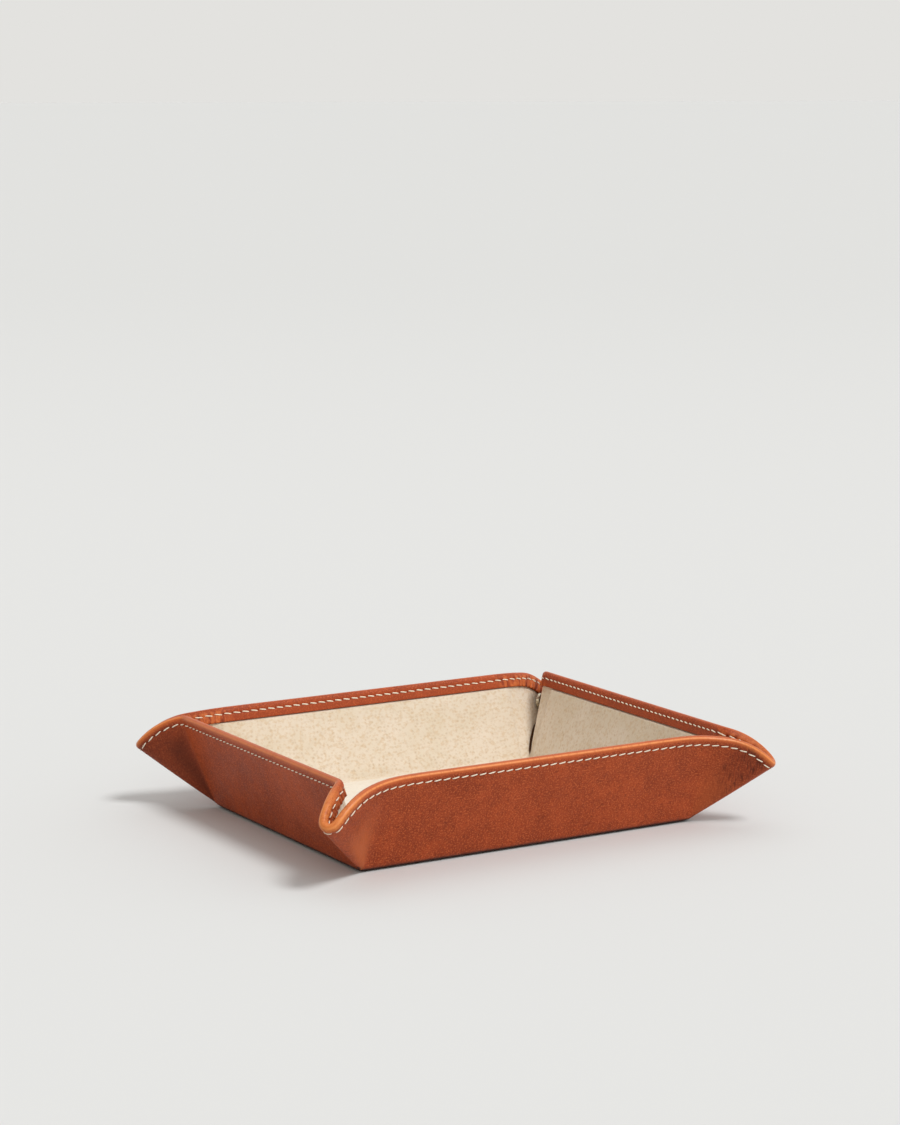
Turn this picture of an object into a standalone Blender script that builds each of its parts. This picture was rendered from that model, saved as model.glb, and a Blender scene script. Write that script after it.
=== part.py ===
# Folding tray: a flat leather sheet whose corners snap together into ears, so that four walls stand up.
# Metres, +Z up. X runs along the long walls, Y across; the tray stands on z = 0 in the snapped pose.
# Every panel is drawn on the flat sheet as (u, v, w), w being the height over the leather's inner face,
# and rest_shape() folds it into place. The corner is a developable cone found by solving its bends.

import bmesh
import bpy
import numpy as np
from mathutils import Matrix, Vector

# Sheet, between the fold lines of the floor
FLOOR_LENGTH = 0.150
FLOOR_WIDTH = 0.1175
WALL_HEIGHT = 0.0391
CORNER_RADIUS_share = 0.83
WALL_TILT = np.radians(70.5)

# Layers, counted from the leather's inner face
LEATHER = 0.0013
GLUE_LINE = 0.00015
BOARD = 0.0010
LINING = 0.0008
HEM_WIDTH_share = 0.195
HEM_MIDDLE_share = 0.6
HEM_CATCH_share = 0.057

# Bends of the corner: the soft one runs back into the long wall, the sharp one stands at the short wall.
# The fold's half gap is measured on a circle of the ear's radius round the base corner
EAR_RADIUS_share = 1.17
EAR_FOLD_HALF_GAP = 0.0037
EAR_CLOSURE = np.radians(158.0)
EAR_YAW = np.radians(12.3)
SOFT_BEND_SPAN = np.radians(64.0)
SHARP_BEND_SPAN = np.radians(4.0)
SOFT_BEND_REACH = np.radians(36.0)
WALL_BEND_SPAN = np.radians(5.5)
EDGE_SMOOTHING = 0.0028
BEND_FLAT_shares = (0.0, 0.55, 0.2)

# Clearances and setbacks
CUT_GAP = 0.0002
BOARD_OVERLAP = 0.0003
FOLD_SIDE_RELIEF_share = 0.72
SOFT_RELIEF_share = 0.16
SHARP_RELIEF_share = 0.36
BOARD_SETBACK = 0.0038
HEM_BOARD_SETBACK = 0.0023
RAMP_LENGTH = 0.0016
LEATHER_CORNER_TRIM = 0.0007
LINING_CORNER_TRIM = 0.0005
LEATHER_APEX_TRIM = 0.0036
BEND_TRIM_share = 1.6
LINING_APEX_TRIM = 0.0145
FOLD_LINING_share = 1.4

# Snaps; the outlines are (radius, height) as shares of the radius, of the height, or of the flange
SNAP_RADIUS = 0.0039
SNAP_FROM_FOLD = 0.0044
SNAP_BELOW_HEM = 0.0003
SNAP_ENGAGEMENT = 0.0004
SNAP_FLANGE_share = 0.12
SNAP_POST_share = 0.42
SNAP_BORE_CLEARANCE = 0.00035
SOCKET_HEIGHT = 0.0015
SOCKET_RIM_HEIGHT_shares = (0.85, 1.0, 0.9)
STUD_HEIGHT = 0.0015
STUD_FLANGE_shares = (0.9, 0.7)
STUD_NECK_share = 0.85
STUD_TIP_share = 0.7
STUD_SWELL_HEIGHT_shares = (0.5, 0.75)
SNAP_SIDES = 24

# How finely the forms are cut
CURVE_STEPS = 240
KERNEL_POINTS = 8
ROLL_STEPS = 5
SLOPE_REACH = 0.00002
WALL_STATION_shares = (0.0, 0.05, 0.1, 0.18, 0.4, 0.7, 1.0)
EAR_STATION_shares = (0.0, 0.12, 0.3, 0.6, 1.0)
EAR_LINING_STATION_shares = (0.0, 0.5, 1.0)
BOARD_ROWS = 4
EAR_COLUMNS = 6
FOLD_COLUMNS = 8
WALL_BEND_COLUMNS = 4
MIDDLE_COLUMN_share = 0.45
SOFT_COLUMN_shares = (1.0, 0.8, 0.6, 0.4, 0.2)
FAN_COLUMN_shares = (0.35, 0.7, 1.0)
FLOOR_RIM_COLUMN_shares = (0.6, 0.9)

# Solving the corner's bends
FIRST_CREASE_share = 0.75
NUDGE = 1e-5
LARGEST_CHANGE = 0.15
SOLVED_TO = 1e-9
ATTEMPTS = 12
CUT_PASSES = 4
PLANE_MARGIN = np.radians(0.6)

# Finishes
COGNAC = (0.42, 0.135, 0.032)
CREAM = (0.62, 0.50, 0.36)
GREY_BOARD = (0.30, 0.28, 0.25)
NICKEL = (0.75, 0.74, 0.70)

EAR_RADIUS = WALL_HEIGHT * EAR_RADIUS_share
CORNER_RADIUS = WALL_HEIGHT * CORNER_RADIUS_share
HEM_WIDTH = WALL_HEIGHT * HEM_WIDTH_share
HEM_CATCH = WALL_HEIGHT * HEM_CATCH_share
HALF_LENGTH = FLOOR_LENGTH / 2
HALF_WIDTH = FLOOR_WIDTH / 2
LINING_TOP_LOW = GLUE_LINE + LINING
LINING_TOP_HIGH = 2 * GLUE_LINE + BOARD + LINING
HEM_UNDERSIDE = LINING_TOP_LOW + GLUE_LINE
HEM_TOP = LINING_TOP_HIGH
ROLL_RADIUS = (LEATHER + HEM_TOP) / 2
CORNERS = {"left_near": (-1, -1), "right_near": (1, -1), "left_far": (-1, 1), "right_far": (1, 1)}


def remove_everything():
    for old in list(bpy.data.objects):
        bpy.data.objects.remove(old, do_unlink=True)


# The corner as a curve on a unit sphere: a ray of the sheet for each angle from the long wall


def bend_density(s, centres, widths, amounts):
    """Turning per radian along the curve: three smooth bends, each of its own width and amount."""
    total = np.zeros_like(s)
    for centre, width, amount, flat in zip(centres, widths, amounts, BEND_FLAT_shares):
        x = np.abs(s - centre) / (width / 2)
        fall = 0.5 + 0.5 * np.cos(np.pi * np.clip((x - flat) / (1 - flat), 0, 1))
        total += amount * fall / (width * (flat + (1 - flat) / 2))
    return total


def run_curve(densities, step):
    """Rays and end tangent of a curve that starts in the long wall's plane and turns as the densities say."""
    cos, sin = np.cos(-SOFT_BEND_REACH), np.sin(-SOFT_BEND_REACH)
    up, along = np.array([0, np.cos(WALL_TILT), np.sin(WALL_TILT)]), np.array([1.0, 0, 0])
    ray, tangent = up * cos + along * sin, along * cos - up * sin
    rays = [ray]
    for density in densities:
        rate = np.sqrt(1 + density * density)
        axis = (np.cross(ray, tangent) + density * ray) / rate
        cos, sin = np.cos(rate * step), np.sin(rate * step)
        ray = ray * cos + np.cross(axis, ray) * sin + axis * (axis @ ray) * (1 - cos)
        tangent = tangent * cos + np.cross(axis, tangent) * sin + axis * (axis @ tangent) * (1 - cos)
        rays.append(ray)
    return np.array(rays), tangent


def solve_corner():
    """Places the two creases, and their joint amount, so that the curve ends up the short wall."""
    step = (np.pi / 2 + SOFT_BEND_REACH) / CURVE_STEPS
    s = (np.arange(CURVE_STEPS) + 0.5) * step - SOFT_BEND_REACH
    fold_span = EAR_CLOSURE * EAR_FOLD_HALF_GAP / EAR_RADIUS / ((1 + BEND_FLAT_shares[1]) / 2)
    widths = np.array([SOFT_BEND_SPAN, fold_span, SHARP_BEND_SPAN])
    end_ray = np.array([np.cos(WALL_TILT), 0, np.sin(WALL_TILT)])
    end_tangent = np.array([0, -1.0, 0])
    end_normal = np.cross(end_ray, end_tangent)

    def miss(x):
        centres = (x[0], np.pi / 4, np.pi / 2 - x[1])
        amounts = (x[2] / 2 - EAR_YAW, -EAR_CLOSURE, x[2] / 2 + EAR_YAW)
        rays, tangent = run_curve(bend_density(s, centres, widths, amounts), step)
        error = rays[-1] - end_ray
        return np.array([error @ end_tangent, error @ end_normal, tangent @ end_normal]), rays

    crease = FIRST_CREASE_share * np.arctan(np.cos(WALL_TILT))
    x = np.array([crease, crease, 2 * np.arccos(np.sin(WALL_TILT) / np.sqrt(2))])
    for _ in range(ATTEMPTS):
        error, rays = miss(x)
        if np.abs(error).max() < SOLVED_TO:
            break
        slopes = np.array([(miss(x + NUDGE * unit)[0] - error) / NUDGE for unit in np.eye(3)]).T
        change = np.linalg.solve(slopes, -error)
        x = x + change * min(1, LARGEST_CHANGE / np.abs(change).max())
    return x[0], x[1], widths, rays


SOFT_CREASE, SHARP_CREASE, BEND_WIDTHS, RAYS = solve_corner()
RAY_ANGLES = np.linspace(-SOFT_BEND_REACH, np.pi / 2, CURVE_STEPS + 1)
FOLD_HALF_ANGLE = BEND_WIDTHS[1] * (1 + BEND_FLAT_shares[1]) / 4


def ray_at(s):
    return np.array([np.interp(s, RAY_ANGLES, RAYS[:, i]) for i in range(3)]).T


# The folded shape of the leather's inner face


def smooth_ramp(x):
    """max(x, 0), rounded over EDGE_SMOOTHING to each side."""
    y = np.clip(x / EDGE_SMOOTHING, -1, 1)
    rounded = EDGE_SMOOTHING * (3 / 16 + y / 2 + 3 / 8 * y**2 - y**4 / 16)
    return np.where(x > EDGE_SMOOTHING, x, rounded)


def corner_excess(a, b):
    """What the corner's cone adds to the two walls' planes, at a and b past the base corner."""
    inside = (b > 0) & (a > -b * np.tan(SOFT_BEND_REACH))
    a, b = np.where(inside, a, 0), np.where(inside, b, 0)
    rays = ray_at(np.arctan2(a, np.where(inside, b, 1)))
    past = np.maximum(a, 0)
    cos, sin = np.cos(WALL_TILT), np.sin(WALL_TILT)
    flat = np.stack([a - past + past * cos, b * cos, (past + b) * sin], -1)
    return np.where(inside[..., None], np.hypot(a, b)[..., None] * rays - flat, 0)


def inner_face(u, v):
    """Folded place of points of the quarter u, v >= 0, averaged over a small square to soften folds."""
    a, b = u - HALF_LENGTH, v - HALF_WIDTH
    up_a, up_b = smooth_ramp(a), smooth_ramp(b)
    lean, rise = np.cos(WALL_TILT) - 1, np.sin(WALL_TILT)
    place = np.stack([u + up_a * lean, v + up_b * lean, LEATHER + (up_a + up_b) * rise], -1)
    nodes, weights = np.polynomial.legendre.leggauss(KERNEL_POINTS)
    weights = weights * (1 - nodes**2) * (3 / 4)
    for x, wx in zip(nodes, weights):
        for y, wy in zip(nodes, weights):
            place = place + wx * wy * corner_excess(a + x * EDGE_SMOOTHING, b + y * EDGE_SMOOTHING)
    return place


def rest_shape(points):
    """Folds flat points (u, v, w) into the snapped pose."""
    points = np.asarray(points, float)
    sides = np.where(points[..., :2] < 0, -1.0, 1.0)
    u, v = np.abs(points[..., 0]), np.abs(points[..., 1])
    place = inner_face(u, v)
    along_u = inner_face(u + SLOPE_REACH, v) - inner_face(u - SLOPE_REACH, v)
    along_v = inner_face(u, v + SLOPE_REACH) - inner_face(u, v - SLOPE_REACH)
    normal = np.cross(along_u, along_v)
    normal /= np.linalg.norm(normal, axis=-1, keepdims=True)
    place = place + normal * points[..., 2:3]
    return place * np.concatenate([sides, np.ones_like(sides[..., :1])], -1)


# The flat sheet's outline round a base corner


def outline_radius(s, inset):
    """Distance from the base corner to the sheet's edge, less an inset, at angle s from the long wall."""
    along, out = np.sin(s), np.cos(s)
    centre, round_off = WALL_HEIGHT - CORNER_RADIUS, CORNER_RADIUS - inset
    middle = centre * (along + out)
    arc = middle + np.sqrt(np.maximum(round_off**2 - 2 * centre**2 + middle**2, 0))
    straight = (WALL_HEIGHT - inset) / np.maximum(np.maximum(along, out), SOLVED_TO)
    on_arc = (arc * along > centre) & (arc * out > centre)
    return np.where(on_arc, arc, straight)


# Closed profiles of a panel, as stations (kind, value, w): "in" is a share of the way to the hem,
# "edge" an inset from the sheet's edge. Each is an outer chain and, backwards, an inner one of equal length


def leather_profile(shares, relief):
    """The sheet, its rolled edge and the hem that lies on the lining. relief widens the start outside."""
    inner = [("in", share, 0.0) for share in shares]
    outer = [("in", share, -LEATHER) for share in shares]
    outer[0] = ("start", relief, -LEATHER)
    inner[0] = ("start", 0.0, 0.0)
    roll_middle = HEM_TOP - ROLL_RADIUS
    roll = []
    for i in range(ROLL_STEPS + 1):
        turn = np.pi * (i / ROLL_STEPS - 0.5)
        roll.append(("edge", ROLL_RADIUS * (1 - np.cos(turn)), roll_middle + ROLL_RADIUS * np.sin(turn)))
    middle, slot_end = HEM_WIDTH * HEM_MIDDLE_share, LEATHER + HEM_UNDERSIDE / 4
    turn_in = (slot_end + HEM_CATCH) / 2
    flap = [("edge", middle, HEM_TOP), ("edge", HEM_WIDTH, HEM_TOP)]
    slot = [("edge", middle, 0.0), ("edge", HEM_CATCH, 0.0), ("edge", turn_in, HEM_UNDERSIDE / 8)]
    slot += [("edge", slot_end, HEM_UNDERSIDE / 2), ("edge", turn_in, HEM_UNDERSIDE * 7 / 8)]
    slot += [("edge", inset, HEM_UNDERSIDE) for inset in (HEM_CATCH, middle, HEM_WIDTH)]
    return outer + roll + flap + (inner + slot)[::-1]


def lining_profile(shares, lifted):
    """A strip of lining; lifted gives, per station, whether it lies on the board."""
    stations = [("in", share, up) for share, up in zip(shares, lifted)]
    stations[0] = ("start", 0.0, lifted[0])
    stations += [("edge", HEM_WIDTH * HEM_MIDDLE_share, 0), ("edge", HEM_CATCH + 2 * GLUE_LINE, 0)]
    low = [(kind, value, GLUE_LINE + up * (GLUE_LINE + BOARD)) for kind, value, up in stations]
    return low + [(kind, value, w + LINING) for kind, value, w in low[::-1]]


def crease_gap(w, relief):
    """Half the cut at a bend, opened towards the lining, which closes up when the sheet lies flat."""
    return CUT_GAP + relief * (w + LEATHER)


# Panels as columns of profile points on the flat sheet


def across(places):
    """Places on both sides of the middle, from those of one side, the outermost first."""
    return [-place for place in places] + places[::-1]


def wall_end(half_along):
    """How far past the base corner a wall's end leans out, as an angle."""
    return SOFT_CREASE if half_along == HALF_LENGTH else SHARP_CREASE - WALL_BEND_SPAN / 2


def wall_rows(half_along, profile, columns, start):
    """Points (along, out, w) of a wall, a row for each column (place at floor, at top, share of the cut)."""
    hem = WALL_HEIGHT - HEM_WIDTH
    relief = SOFT_RELIEF_share if half_along == HALF_LENGTH else SHARP_RELIEF_share
    rows = []
    for bottom, top, cut in columns:
        row = []
        for kind, value, w in profile:
            if kind == "edge":
                out = WALL_HEIGHT - value
            elif kind == "start":
                out = start + value
            else:
                out = start + value * (hem - start)
            along = bottom + (top - bottom) * (out - start) / (WALL_HEIGHT - start)
            row.append((along - np.sign(along) * cut * crease_gap(w, relief), out, w))
        rows.append(row)
    return np.array(rows)


def wall_lean(half_along):
    """How far past the base corner a wall's end leans out at the top."""
    return WALL_HEIGHT * np.tan(wall_end(half_along))


def board_end(half_along):
    return half_along - BOARD_SETBACK + min(0, wall_lean(half_along))


def upright_places(half_along):
    """Places of a wall's upright columns, from the middle to the board's end, closer where the wall bends."""
    side = board_end(half_along)
    if half_along == HALF_WIDTH:
        return [side * MIDDLE_COLUMN_share, side]
    bend = WALL_HEIGHT * np.tan(SOFT_BEND_REACH)
    return [side * MIDDLE_COLUMN_share] + [side - bend * share for share in SOFT_COLUMN_shares] + [side]


def wall_columns(half_along, trim):
    """Both halves of a wall's columns: upright over the board, then fanned out to the creases."""
    right = [(place, place, 0) for place in upright_places(half_along)]
    side = board_end(half_along)
    ramped = side + RAMP_LENGTH
    right[-1] = (side + BOARD_OVERLAP, side + BOARD_OVERLAP, 0)
    right.append((ramped, ramped, 0))
    low, high = half_along - trim - ramped, half_along + wall_lean(half_along) - ramped
    right += [(ramped + low * share, ramped + high * share, share) for share in FAN_COLUMN_shares]
    left = [(-bottom, -top, cut) for bottom, top, cut in right[::-1]]
    return left + right


def on_wall(name, rows):
    """Turns (along, out, w) into sheet coordinates of the named wall."""
    along, out, w = rows[..., 0], rows[..., 1], rows[..., 2]
    placed = {
        "front": (along, -HALF_WIDTH - out),
        "back": (along, HALF_WIDTH + out),
        "left": (-HALF_LENGTH - out, along),
        "right": (HALF_LENGTH + out, along),
    }[name]
    return np.stack([placed[0], placed[1], w], -1)


def ear_rows(profile, first, last, count, start, reliefs):
    """Columns of a wedge of the corner between two angles from the long wall, cut apart at both."""
    rows = []
    for share in np.linspace(0, 1, count):
        row = []
        for kind, value, w in profile:
            gaps = [crease_gap(w, relief) for relief in reliefs]
            r = start
            for _ in range(CUT_PASSES):
                low, high = first + gaps[0] / r, last - gaps[1] / r
                s = low + (high - low) * share
                if kind == "edge":
                    r = outline_radius(s, value)
                elif kind == "in":
                    r = start + value * (outline_radius(s, HEM_WIDTH) - start)
            row.append((r * np.sin(s), r * np.cos(s), w))
        rows.append(row)
    return np.array(rows)


def on_corner(corner, rows):
    side_u, side_v = CORNERS[corner]
    u = side_u * (HALF_LENGTH + rows[..., 0])
    v = side_v * (HALF_WIDTH + rows[..., 1])
    return np.stack([u, v, rows[..., 2]], -1)


# Meshes


def finish_mesh(name, points, faces, material):
    mesh = bpy.data.meshes.new(name)
    mesh.from_pydata([tuple(p) for p in points], [], faces)
    shape = bmesh.new()
    shape.from_mesh(mesh)
    bmesh.ops.recalc_face_normals(shape, faces=shape.faces[:])
    shape.to_mesh(mesh)
    shape.free()
    mesh.materials.append(material)
    made = bpy.data.objects.new(name, mesh)
    bpy.context.collection.objects.link(made)
    return made


def ringed_solid(name, flat_rows, material):
    """A closed solid from columns of equal profiles, folded into place, both ends capped chain to chain."""
    columns, ring = flat_rows.shape[:2]
    points = rest_shape(flat_rows.reshape(-1, 3))
    faces = []
    for c in range(columns - 1):
        for k in range(ring):
            n = (k + 1) % ring
            faces.append((c * ring + k, (c + 1) * ring + k, (c + 1) * ring + n, c * ring + n))
    for first in (0, (columns - 1) * ring):
        for k in range(ring // 2 - 1):
            faces.append((first + k, first + k + 1, first + ring - 2 - k, first + ring - 1 - k))
    return finish_mesh(name, points, faces, material)


def turned_solid(name, outline, place, axis, material):
    """A solid of revolution from (radius, height) points that start and end on the axis."""
    spin = Vector(axis).to_track_quat("Z", "Y").to_matrix().to_4x4()
    frame = Matrix.Translation(Vector(place)) @ spin
    points, faces, rings = [], [], []
    for radius, height in outline:
        if radius == 0:
            rings.append([len(points)])
            points.append(frame @ Vector((0, 0, height)))
            continue
        rings.append(list(range(len(points), len(points) + SNAP_SIDES)))
        for i in range(SNAP_SIDES):
            turn = 2 * np.pi * i / SNAP_SIDES
            points.append(frame @ Vector((radius * np.cos(turn), radius * np.sin(turn), height)))
    for ring, after in zip(rings, rings[1:]):
        for i in range(SNAP_SIDES):
            n = (i + 1) % SNAP_SIDES
            corners = [ring[i % len(ring)], ring[n % len(ring)], after[n % len(after)], after[i % len(after)]]
            faces.append(tuple(dict.fromkeys(corners)))
    return finish_mesh(name, points, faces, material)


# Materials, one for each piece


def plain_material(name, colour, roughness, metallic):
    made = bpy.data.materials.new(name)
    made.use_nodes = True
    shader = made.node_tree.nodes["Principled BSDF"]
    shader.inputs["Base Color"].default_value = (*colour, 1)
    shader.inputs["Roughness"].default_value = roughness
    shader.inputs["Metallic"].default_value = metallic
    made.diffuse_color = (*colour, 1)
    return made


def leather_material(name):
    return plain_material(name, COGNAC, 0.48, 0.0)


def suede_material(name):
    return plain_material(name, CREAM, 0.9, 0.0)


def board_material(name):
    return plain_material(name, GREY_BOARD, 0.8, 0.0)


def metal_material(name):
    return plain_material(name, NICKEL, 0.25, 1.0)


# Floor


def edge_places(half):
    """Places across half the floor, from its rim inwards, close together where the rim starts to bend."""
    side = half - BOARD_SETBACK
    rim = [half - EDGE_SMOOTHING * share for share in FLOOR_RIM_COLUMN_shares]
    return [half - CUT_GAP, *rim, side + BOARD_OVERLAP, side * MIDDLE_COLUMN_share]


def floor_leather():
    """The sheet's middle; its outside stops short of the folds, where the leather bends round."""
    relief = FOLD_SIDE_RELIEF_share * LEATHER
    ends, outs = edge_places(HALF_LENGTH), edge_places(HALF_WIDTH)
    outside = across([ends[0] - relief] + ends[1:])
    lower = across([outs[0] - relief] + outs[1:])
    rows = []
    for u, u_outside in zip(across(ends), outside):
        rows.append([(u_outside, v, -LEATHER) for v in lower] + [(u, v, 0.0) for v in across(outs)[::-1]])
    return ringed_solid("floor_leather", np.array(rows), leather_material("floor_leather_finish"))


def on_board(place, half):
    return abs(place) <= half - BOARD_SETBACK + BOARD_OVERLAP


def floor_lining():
    """Lies on the leather round the rim and rises onto the board."""
    rows = []
    for u in across(edge_places(HALF_LENGTH)):
        low = []
        for v in across(edge_places(HALF_WIDTH)):
            lifted = on_board(u, HALF_LENGTH) and on_board(v, HALF_WIDTH)
            low.append((u, v, GLUE_LINE + lifted * (GLUE_LINE + BOARD)))
        rows.append(low + [(u, v, w + LINING) for u, v, w in low[::-1]])
    return ringed_solid("floor_lining", np.array(rows), suede_material("floor_lining_finish"))


def floor_board():
    half_u, half_v = HALF_LENGTH - BOARD_SETBACK, HALF_WIDTH - BOARD_SETBACK
    low, high = GLUE_LINE, GLUE_LINE + BOARD
    section = [(-half_v, low), (half_v, low), (half_v, high), (-half_v, high)]
    rows = [[(u, v, w) for v, w in section] for u in (-half_u, half_u)]
    return ringed_solid("floor_board", np.array(rows), board_material("floor_board_finish"))


# Walls


def board_rows():
    """Places up a wall of its board's rows."""
    return np.linspace(BOARD_SETBACK, WALL_HEIGHT - HEM_WIDTH - HEM_BOARD_SETBACK, BOARD_ROWS)


def wall_leather(name, half_along):
    profile = leather_profile(WALL_STATION_shares, FOLD_SIDE_RELIEF_share * LEATHER)
    rows = wall_rows(half_along, profile, wall_columns(half_along, LEATHER_CORNER_TRIM), CUT_GAP)
    return ringed_solid(f"{name}_wall_leather", on_wall(name, rows), leather_material(f"{name}_wall_finish"))


def wall_lining(name, half_along):
    """Lies on the leather along its edges and rises onto the board."""
    low, *middle, high = board_rows()
    outs = [0, low - RAMP_LENGTH, low - BOARD_OVERLAP, *middle, high + BOARD_OVERLAP, high + RAMP_LENGTH]
    lifted = [0, 0] + [1] * (len(outs) - 3) + [0]
    hem = WALL_HEIGHT - HEM_WIDTH
    profile = lining_profile([(out - CUT_GAP) / (hem - CUT_GAP) for out in outs], lifted)
    rows = wall_rows(half_along, profile, wall_columns(half_along, LINING_CORNER_TRIM), CUT_GAP)
    past_board = np.abs(rows[..., 0]) > board_end(half_along) + 2 * BOARD_OVERLAP
    flat = np.full(rows.shape[1], GLUE_LINE)
    flat[len(flat) // 2 :] = LINING_TOP_LOW
    rows[..., 2] = np.where(past_board, flat, rows[..., 2])
    return ringed_solid(f"{name}_wall_lining", on_wall(name, rows), suede_material(f"{name}_lining_finish"))


def wall_board(name, half_along):
    """The wall's stiffener, which bends with the wall towards its ends."""
    outs = board_rows()
    section = [(out, GLUE_LINE) for out in outs] + [(out, GLUE_LINE + BOARD) for out in outs[::-1]]
    alongs = across(upright_places(half_along)[::-1])
    rows = np.array([[(along, out, w) for out, w in section] for along in alongs])
    return ringed_solid(f"{name}_wall_board", on_wall(name, rows), board_material(f"{name}_board_finish"))


# Ears


def ear_wedges():
    """Angles from the long wall, columns, and how much the cut at each end opens towards the lining."""
    low, high = np.pi / 4 - FOLD_HALF_ANGLE, np.pi / 4 + FOLD_HALF_ANGLE
    bend = np.pi / 2 - SHARP_CREASE - WALL_BEND_SPAN / 2
    return {
        "long_half": (SOFT_CREASE, low, EAR_COLUMNS, (SOFT_RELIEF_share, 0)),
        "fold": (low, high, FOLD_COLUMNS, (0, 0)),
        "short_half": (high, bend, EAR_COLUMNS, (0, SHARP_RELIEF_share)),
        "wall_bend": (bend, bend + WALL_BEND_SPAN, WALL_BEND_COLUMNS, (0, 0)),
    }


def ear_pieces(corner):
    made = {}
    for part, (first, last, count, reliefs) in ear_wedges().items():
        trim = LEATHER_APEX_TRIM * (BEND_TRIM_share if part in ("fold", "wall_bend") else 1.0)
        rows = ear_rows(leather_profile(EAR_STATION_shares, 0.0), first, last, count, trim, reliefs)
        name = f"ear_{corner}_{part}"
        skin = ringed_solid(f"{name}_leather", on_corner(corner, rows), leather_material(f"{name}_finish"))
        trim = LINING_APEX_TRIM * (FOLD_LINING_share if part == "fold" else 1.0)
        profile = lining_profile(EAR_LINING_STATION_shares, [0] * len(EAR_LINING_STATION_shares))
        rows = ear_rows(profile, first, last, count, trim, reliefs)
        lining = ringed_solid(f"{name}_lining", on_corner(corner, rows), suede_material(f"{name}_suede"))
        made[part] = [skin, lining]
    return made


# Snaps


def snap_frame(corner):
    """Seats of the socket, on the long half, and of the stud, on the short half."""
    fold_start = np.pi / 4 - FOLD_HALF_ANGLE
    reach = outline_radius(fold_start, HEM_WIDTH) - SNAP_RADIUS - SNAP_BELOW_HEM
    s = fold_start - SNAP_FROM_FOLD / reach
    seats = []
    for angle in (s, np.pi / 2 - s):
        row = np.array([[(reach * np.sin(angle), reach * np.cos(angle), LINING_TOP_LOW)]])
        seats.append(rest_shape(on_corner(corner, row))[0, 0])
    axis = seats[1] - seats[0]
    return seats[0], seats[1], axis / np.linalg.norm(axis)


def socket_outline():
    flange, bore = SNAP_RADIUS * SNAP_FLANGE_share, SNAP_RADIUS * SNAP_POST_share + SNAP_BORE_CLEARANCE
    rim = (SNAP_RADIUS + bore) / 2
    outer, top, inner = [SOCKET_HEIGHT * share for share in SOCKET_RIM_HEIGHT_shares]
    outline = [(0, 0), (SNAP_RADIUS, 0), (SNAP_RADIUS, flange), (rim + flange, outer), (rim, top)]
    return outline + [(bore, inner), (bore, flange), (0, flange)]


def stud_outline():
    flange, post = SNAP_RADIUS * SNAP_FLANGE_share, SNAP_RADIUS * SNAP_POST_share
    edge, neck = SNAP_RADIUS * STUD_FLANGE_shares[0], post * STUD_NECK_share
    low, swell = [STUD_HEIGHT * share for share in STUD_SWELL_HEIGHT_shares]
    outline = [(0, 0), (edge, 0), (edge, flange * STUD_FLANGE_shares[1]), (neck, flange), (neck, low)]
    return outline + [(post, swell), (post * STUD_TIP_share, STUD_HEIGHT), (0, STUD_HEIGHT)]


def snap_pieces(corner):
    """Socket and stud on one axis, pushed together until they engage."""
    socket_seat, stud_seat, axis = snap_frame(corner)
    spare = np.linalg.norm(stud_seat - socket_seat) - SOCKET_HEIGHT - STUD_HEIGHT + SNAP_ENGAGEMENT
    seat = axis * spare / 2
    made = []
    for part, outline, place, up in (
        ("socket", socket_outline(), socket_seat + seat, axis),
        ("stud", stud_outline(), stud_seat - seat, -axis),
    ):
        name = f"snap_{corner}_{part}"
        made.append(turned_solid(name, outline, place, up, metal_material(f"{name}_metal")))
    return made


# Hinges: an empty on each axis, with the panels that turn about it as its children


def hinge_turn(first, last):
    """Rotation that a planar wedge of the corner makes from the flat sheet to the snapped pose."""
    rest = ray_at(np.array([first, last]))
    flat = np.array([[np.sin(s), np.cos(s), 0] for s in (first, last)])

    def frame(rays):
        normal = np.cross(rays[1], rays[0])
        normal /= np.linalg.norm(normal)
        return np.array([rays[0], np.cross(normal, rays[0]), normal]).T

    return frame(rest) @ frame(flat).T


def turn_axis(turn):
    """Unit axis and angle of a rotation matrix."""
    values, vectors = np.linalg.eig(turn)
    axis = np.real(vectors[:, np.argmin(np.abs(values - 1))])
    axis /= np.linalg.norm(axis)
    side = np.array([turn[2, 1] - turn[1, 2], turn[0, 2] - turn[2, 0], turn[1, 0] - turn[0, 1]])
    angle = np.arctan2(side @ axis / 2, (np.trace(turn) - 1) / 2)
    return (axis, angle) if angle > 0 else (-axis, -angle)


def corner_hinges(corner):
    """Axes (point, direction that opens, angle) of an ear's crease and of its fold."""
    cos, sin = np.cos(WALL_TILT), np.sin(WALL_TILT)
    wall = np.array([[1, 0, 0], [0, cos, -sin], [0, sin, cos]])
    creases = (SOFT_CREASE, np.pi / 4, np.pi / 2 - SHARP_CREASE)
    starts = [crease + width / 2 + PLANE_MARGIN for crease, width in zip(creases, BEND_WIDTHS)]
    ends = [crease - width / 2 - PLANE_MARGIN for crease, width in zip(creases, BEND_WIDTHS)]
    first, second = hinge_turn(starts[0], ends[1]), hinge_turn(starts[1], ends[2])
    side_u, side_v = CORNERS[corner]
    mirror = np.diag([side_u, side_v, 1.0])
    apex = np.array([side_u * HALF_LENGTH, side_v * HALF_WIDTH, LEATHER])
    found = []
    for turn in (first @ wall.T, second @ first.T):
        axis, angle = turn_axis(mirror @ turn @ mirror)
        found.append((apex, -axis, angle))
    return found


def wall_hinges():
    half_u, half_v = HALF_LENGTH, HALF_WIDTH
    return {
        "front": ((0, -half_v, LEATHER), (1, 0, 0), WALL_TILT),
        "back": ((0, half_v, LEATHER), (-1, 0, 0), WALL_TILT),
        "left": ((-half_u, 0, LEATHER), (0, -1, 0), WALL_TILT),
        "right": ((half_u, 0, LEATHER), (0, 1, 0), WALL_TILT),
    }


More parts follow.
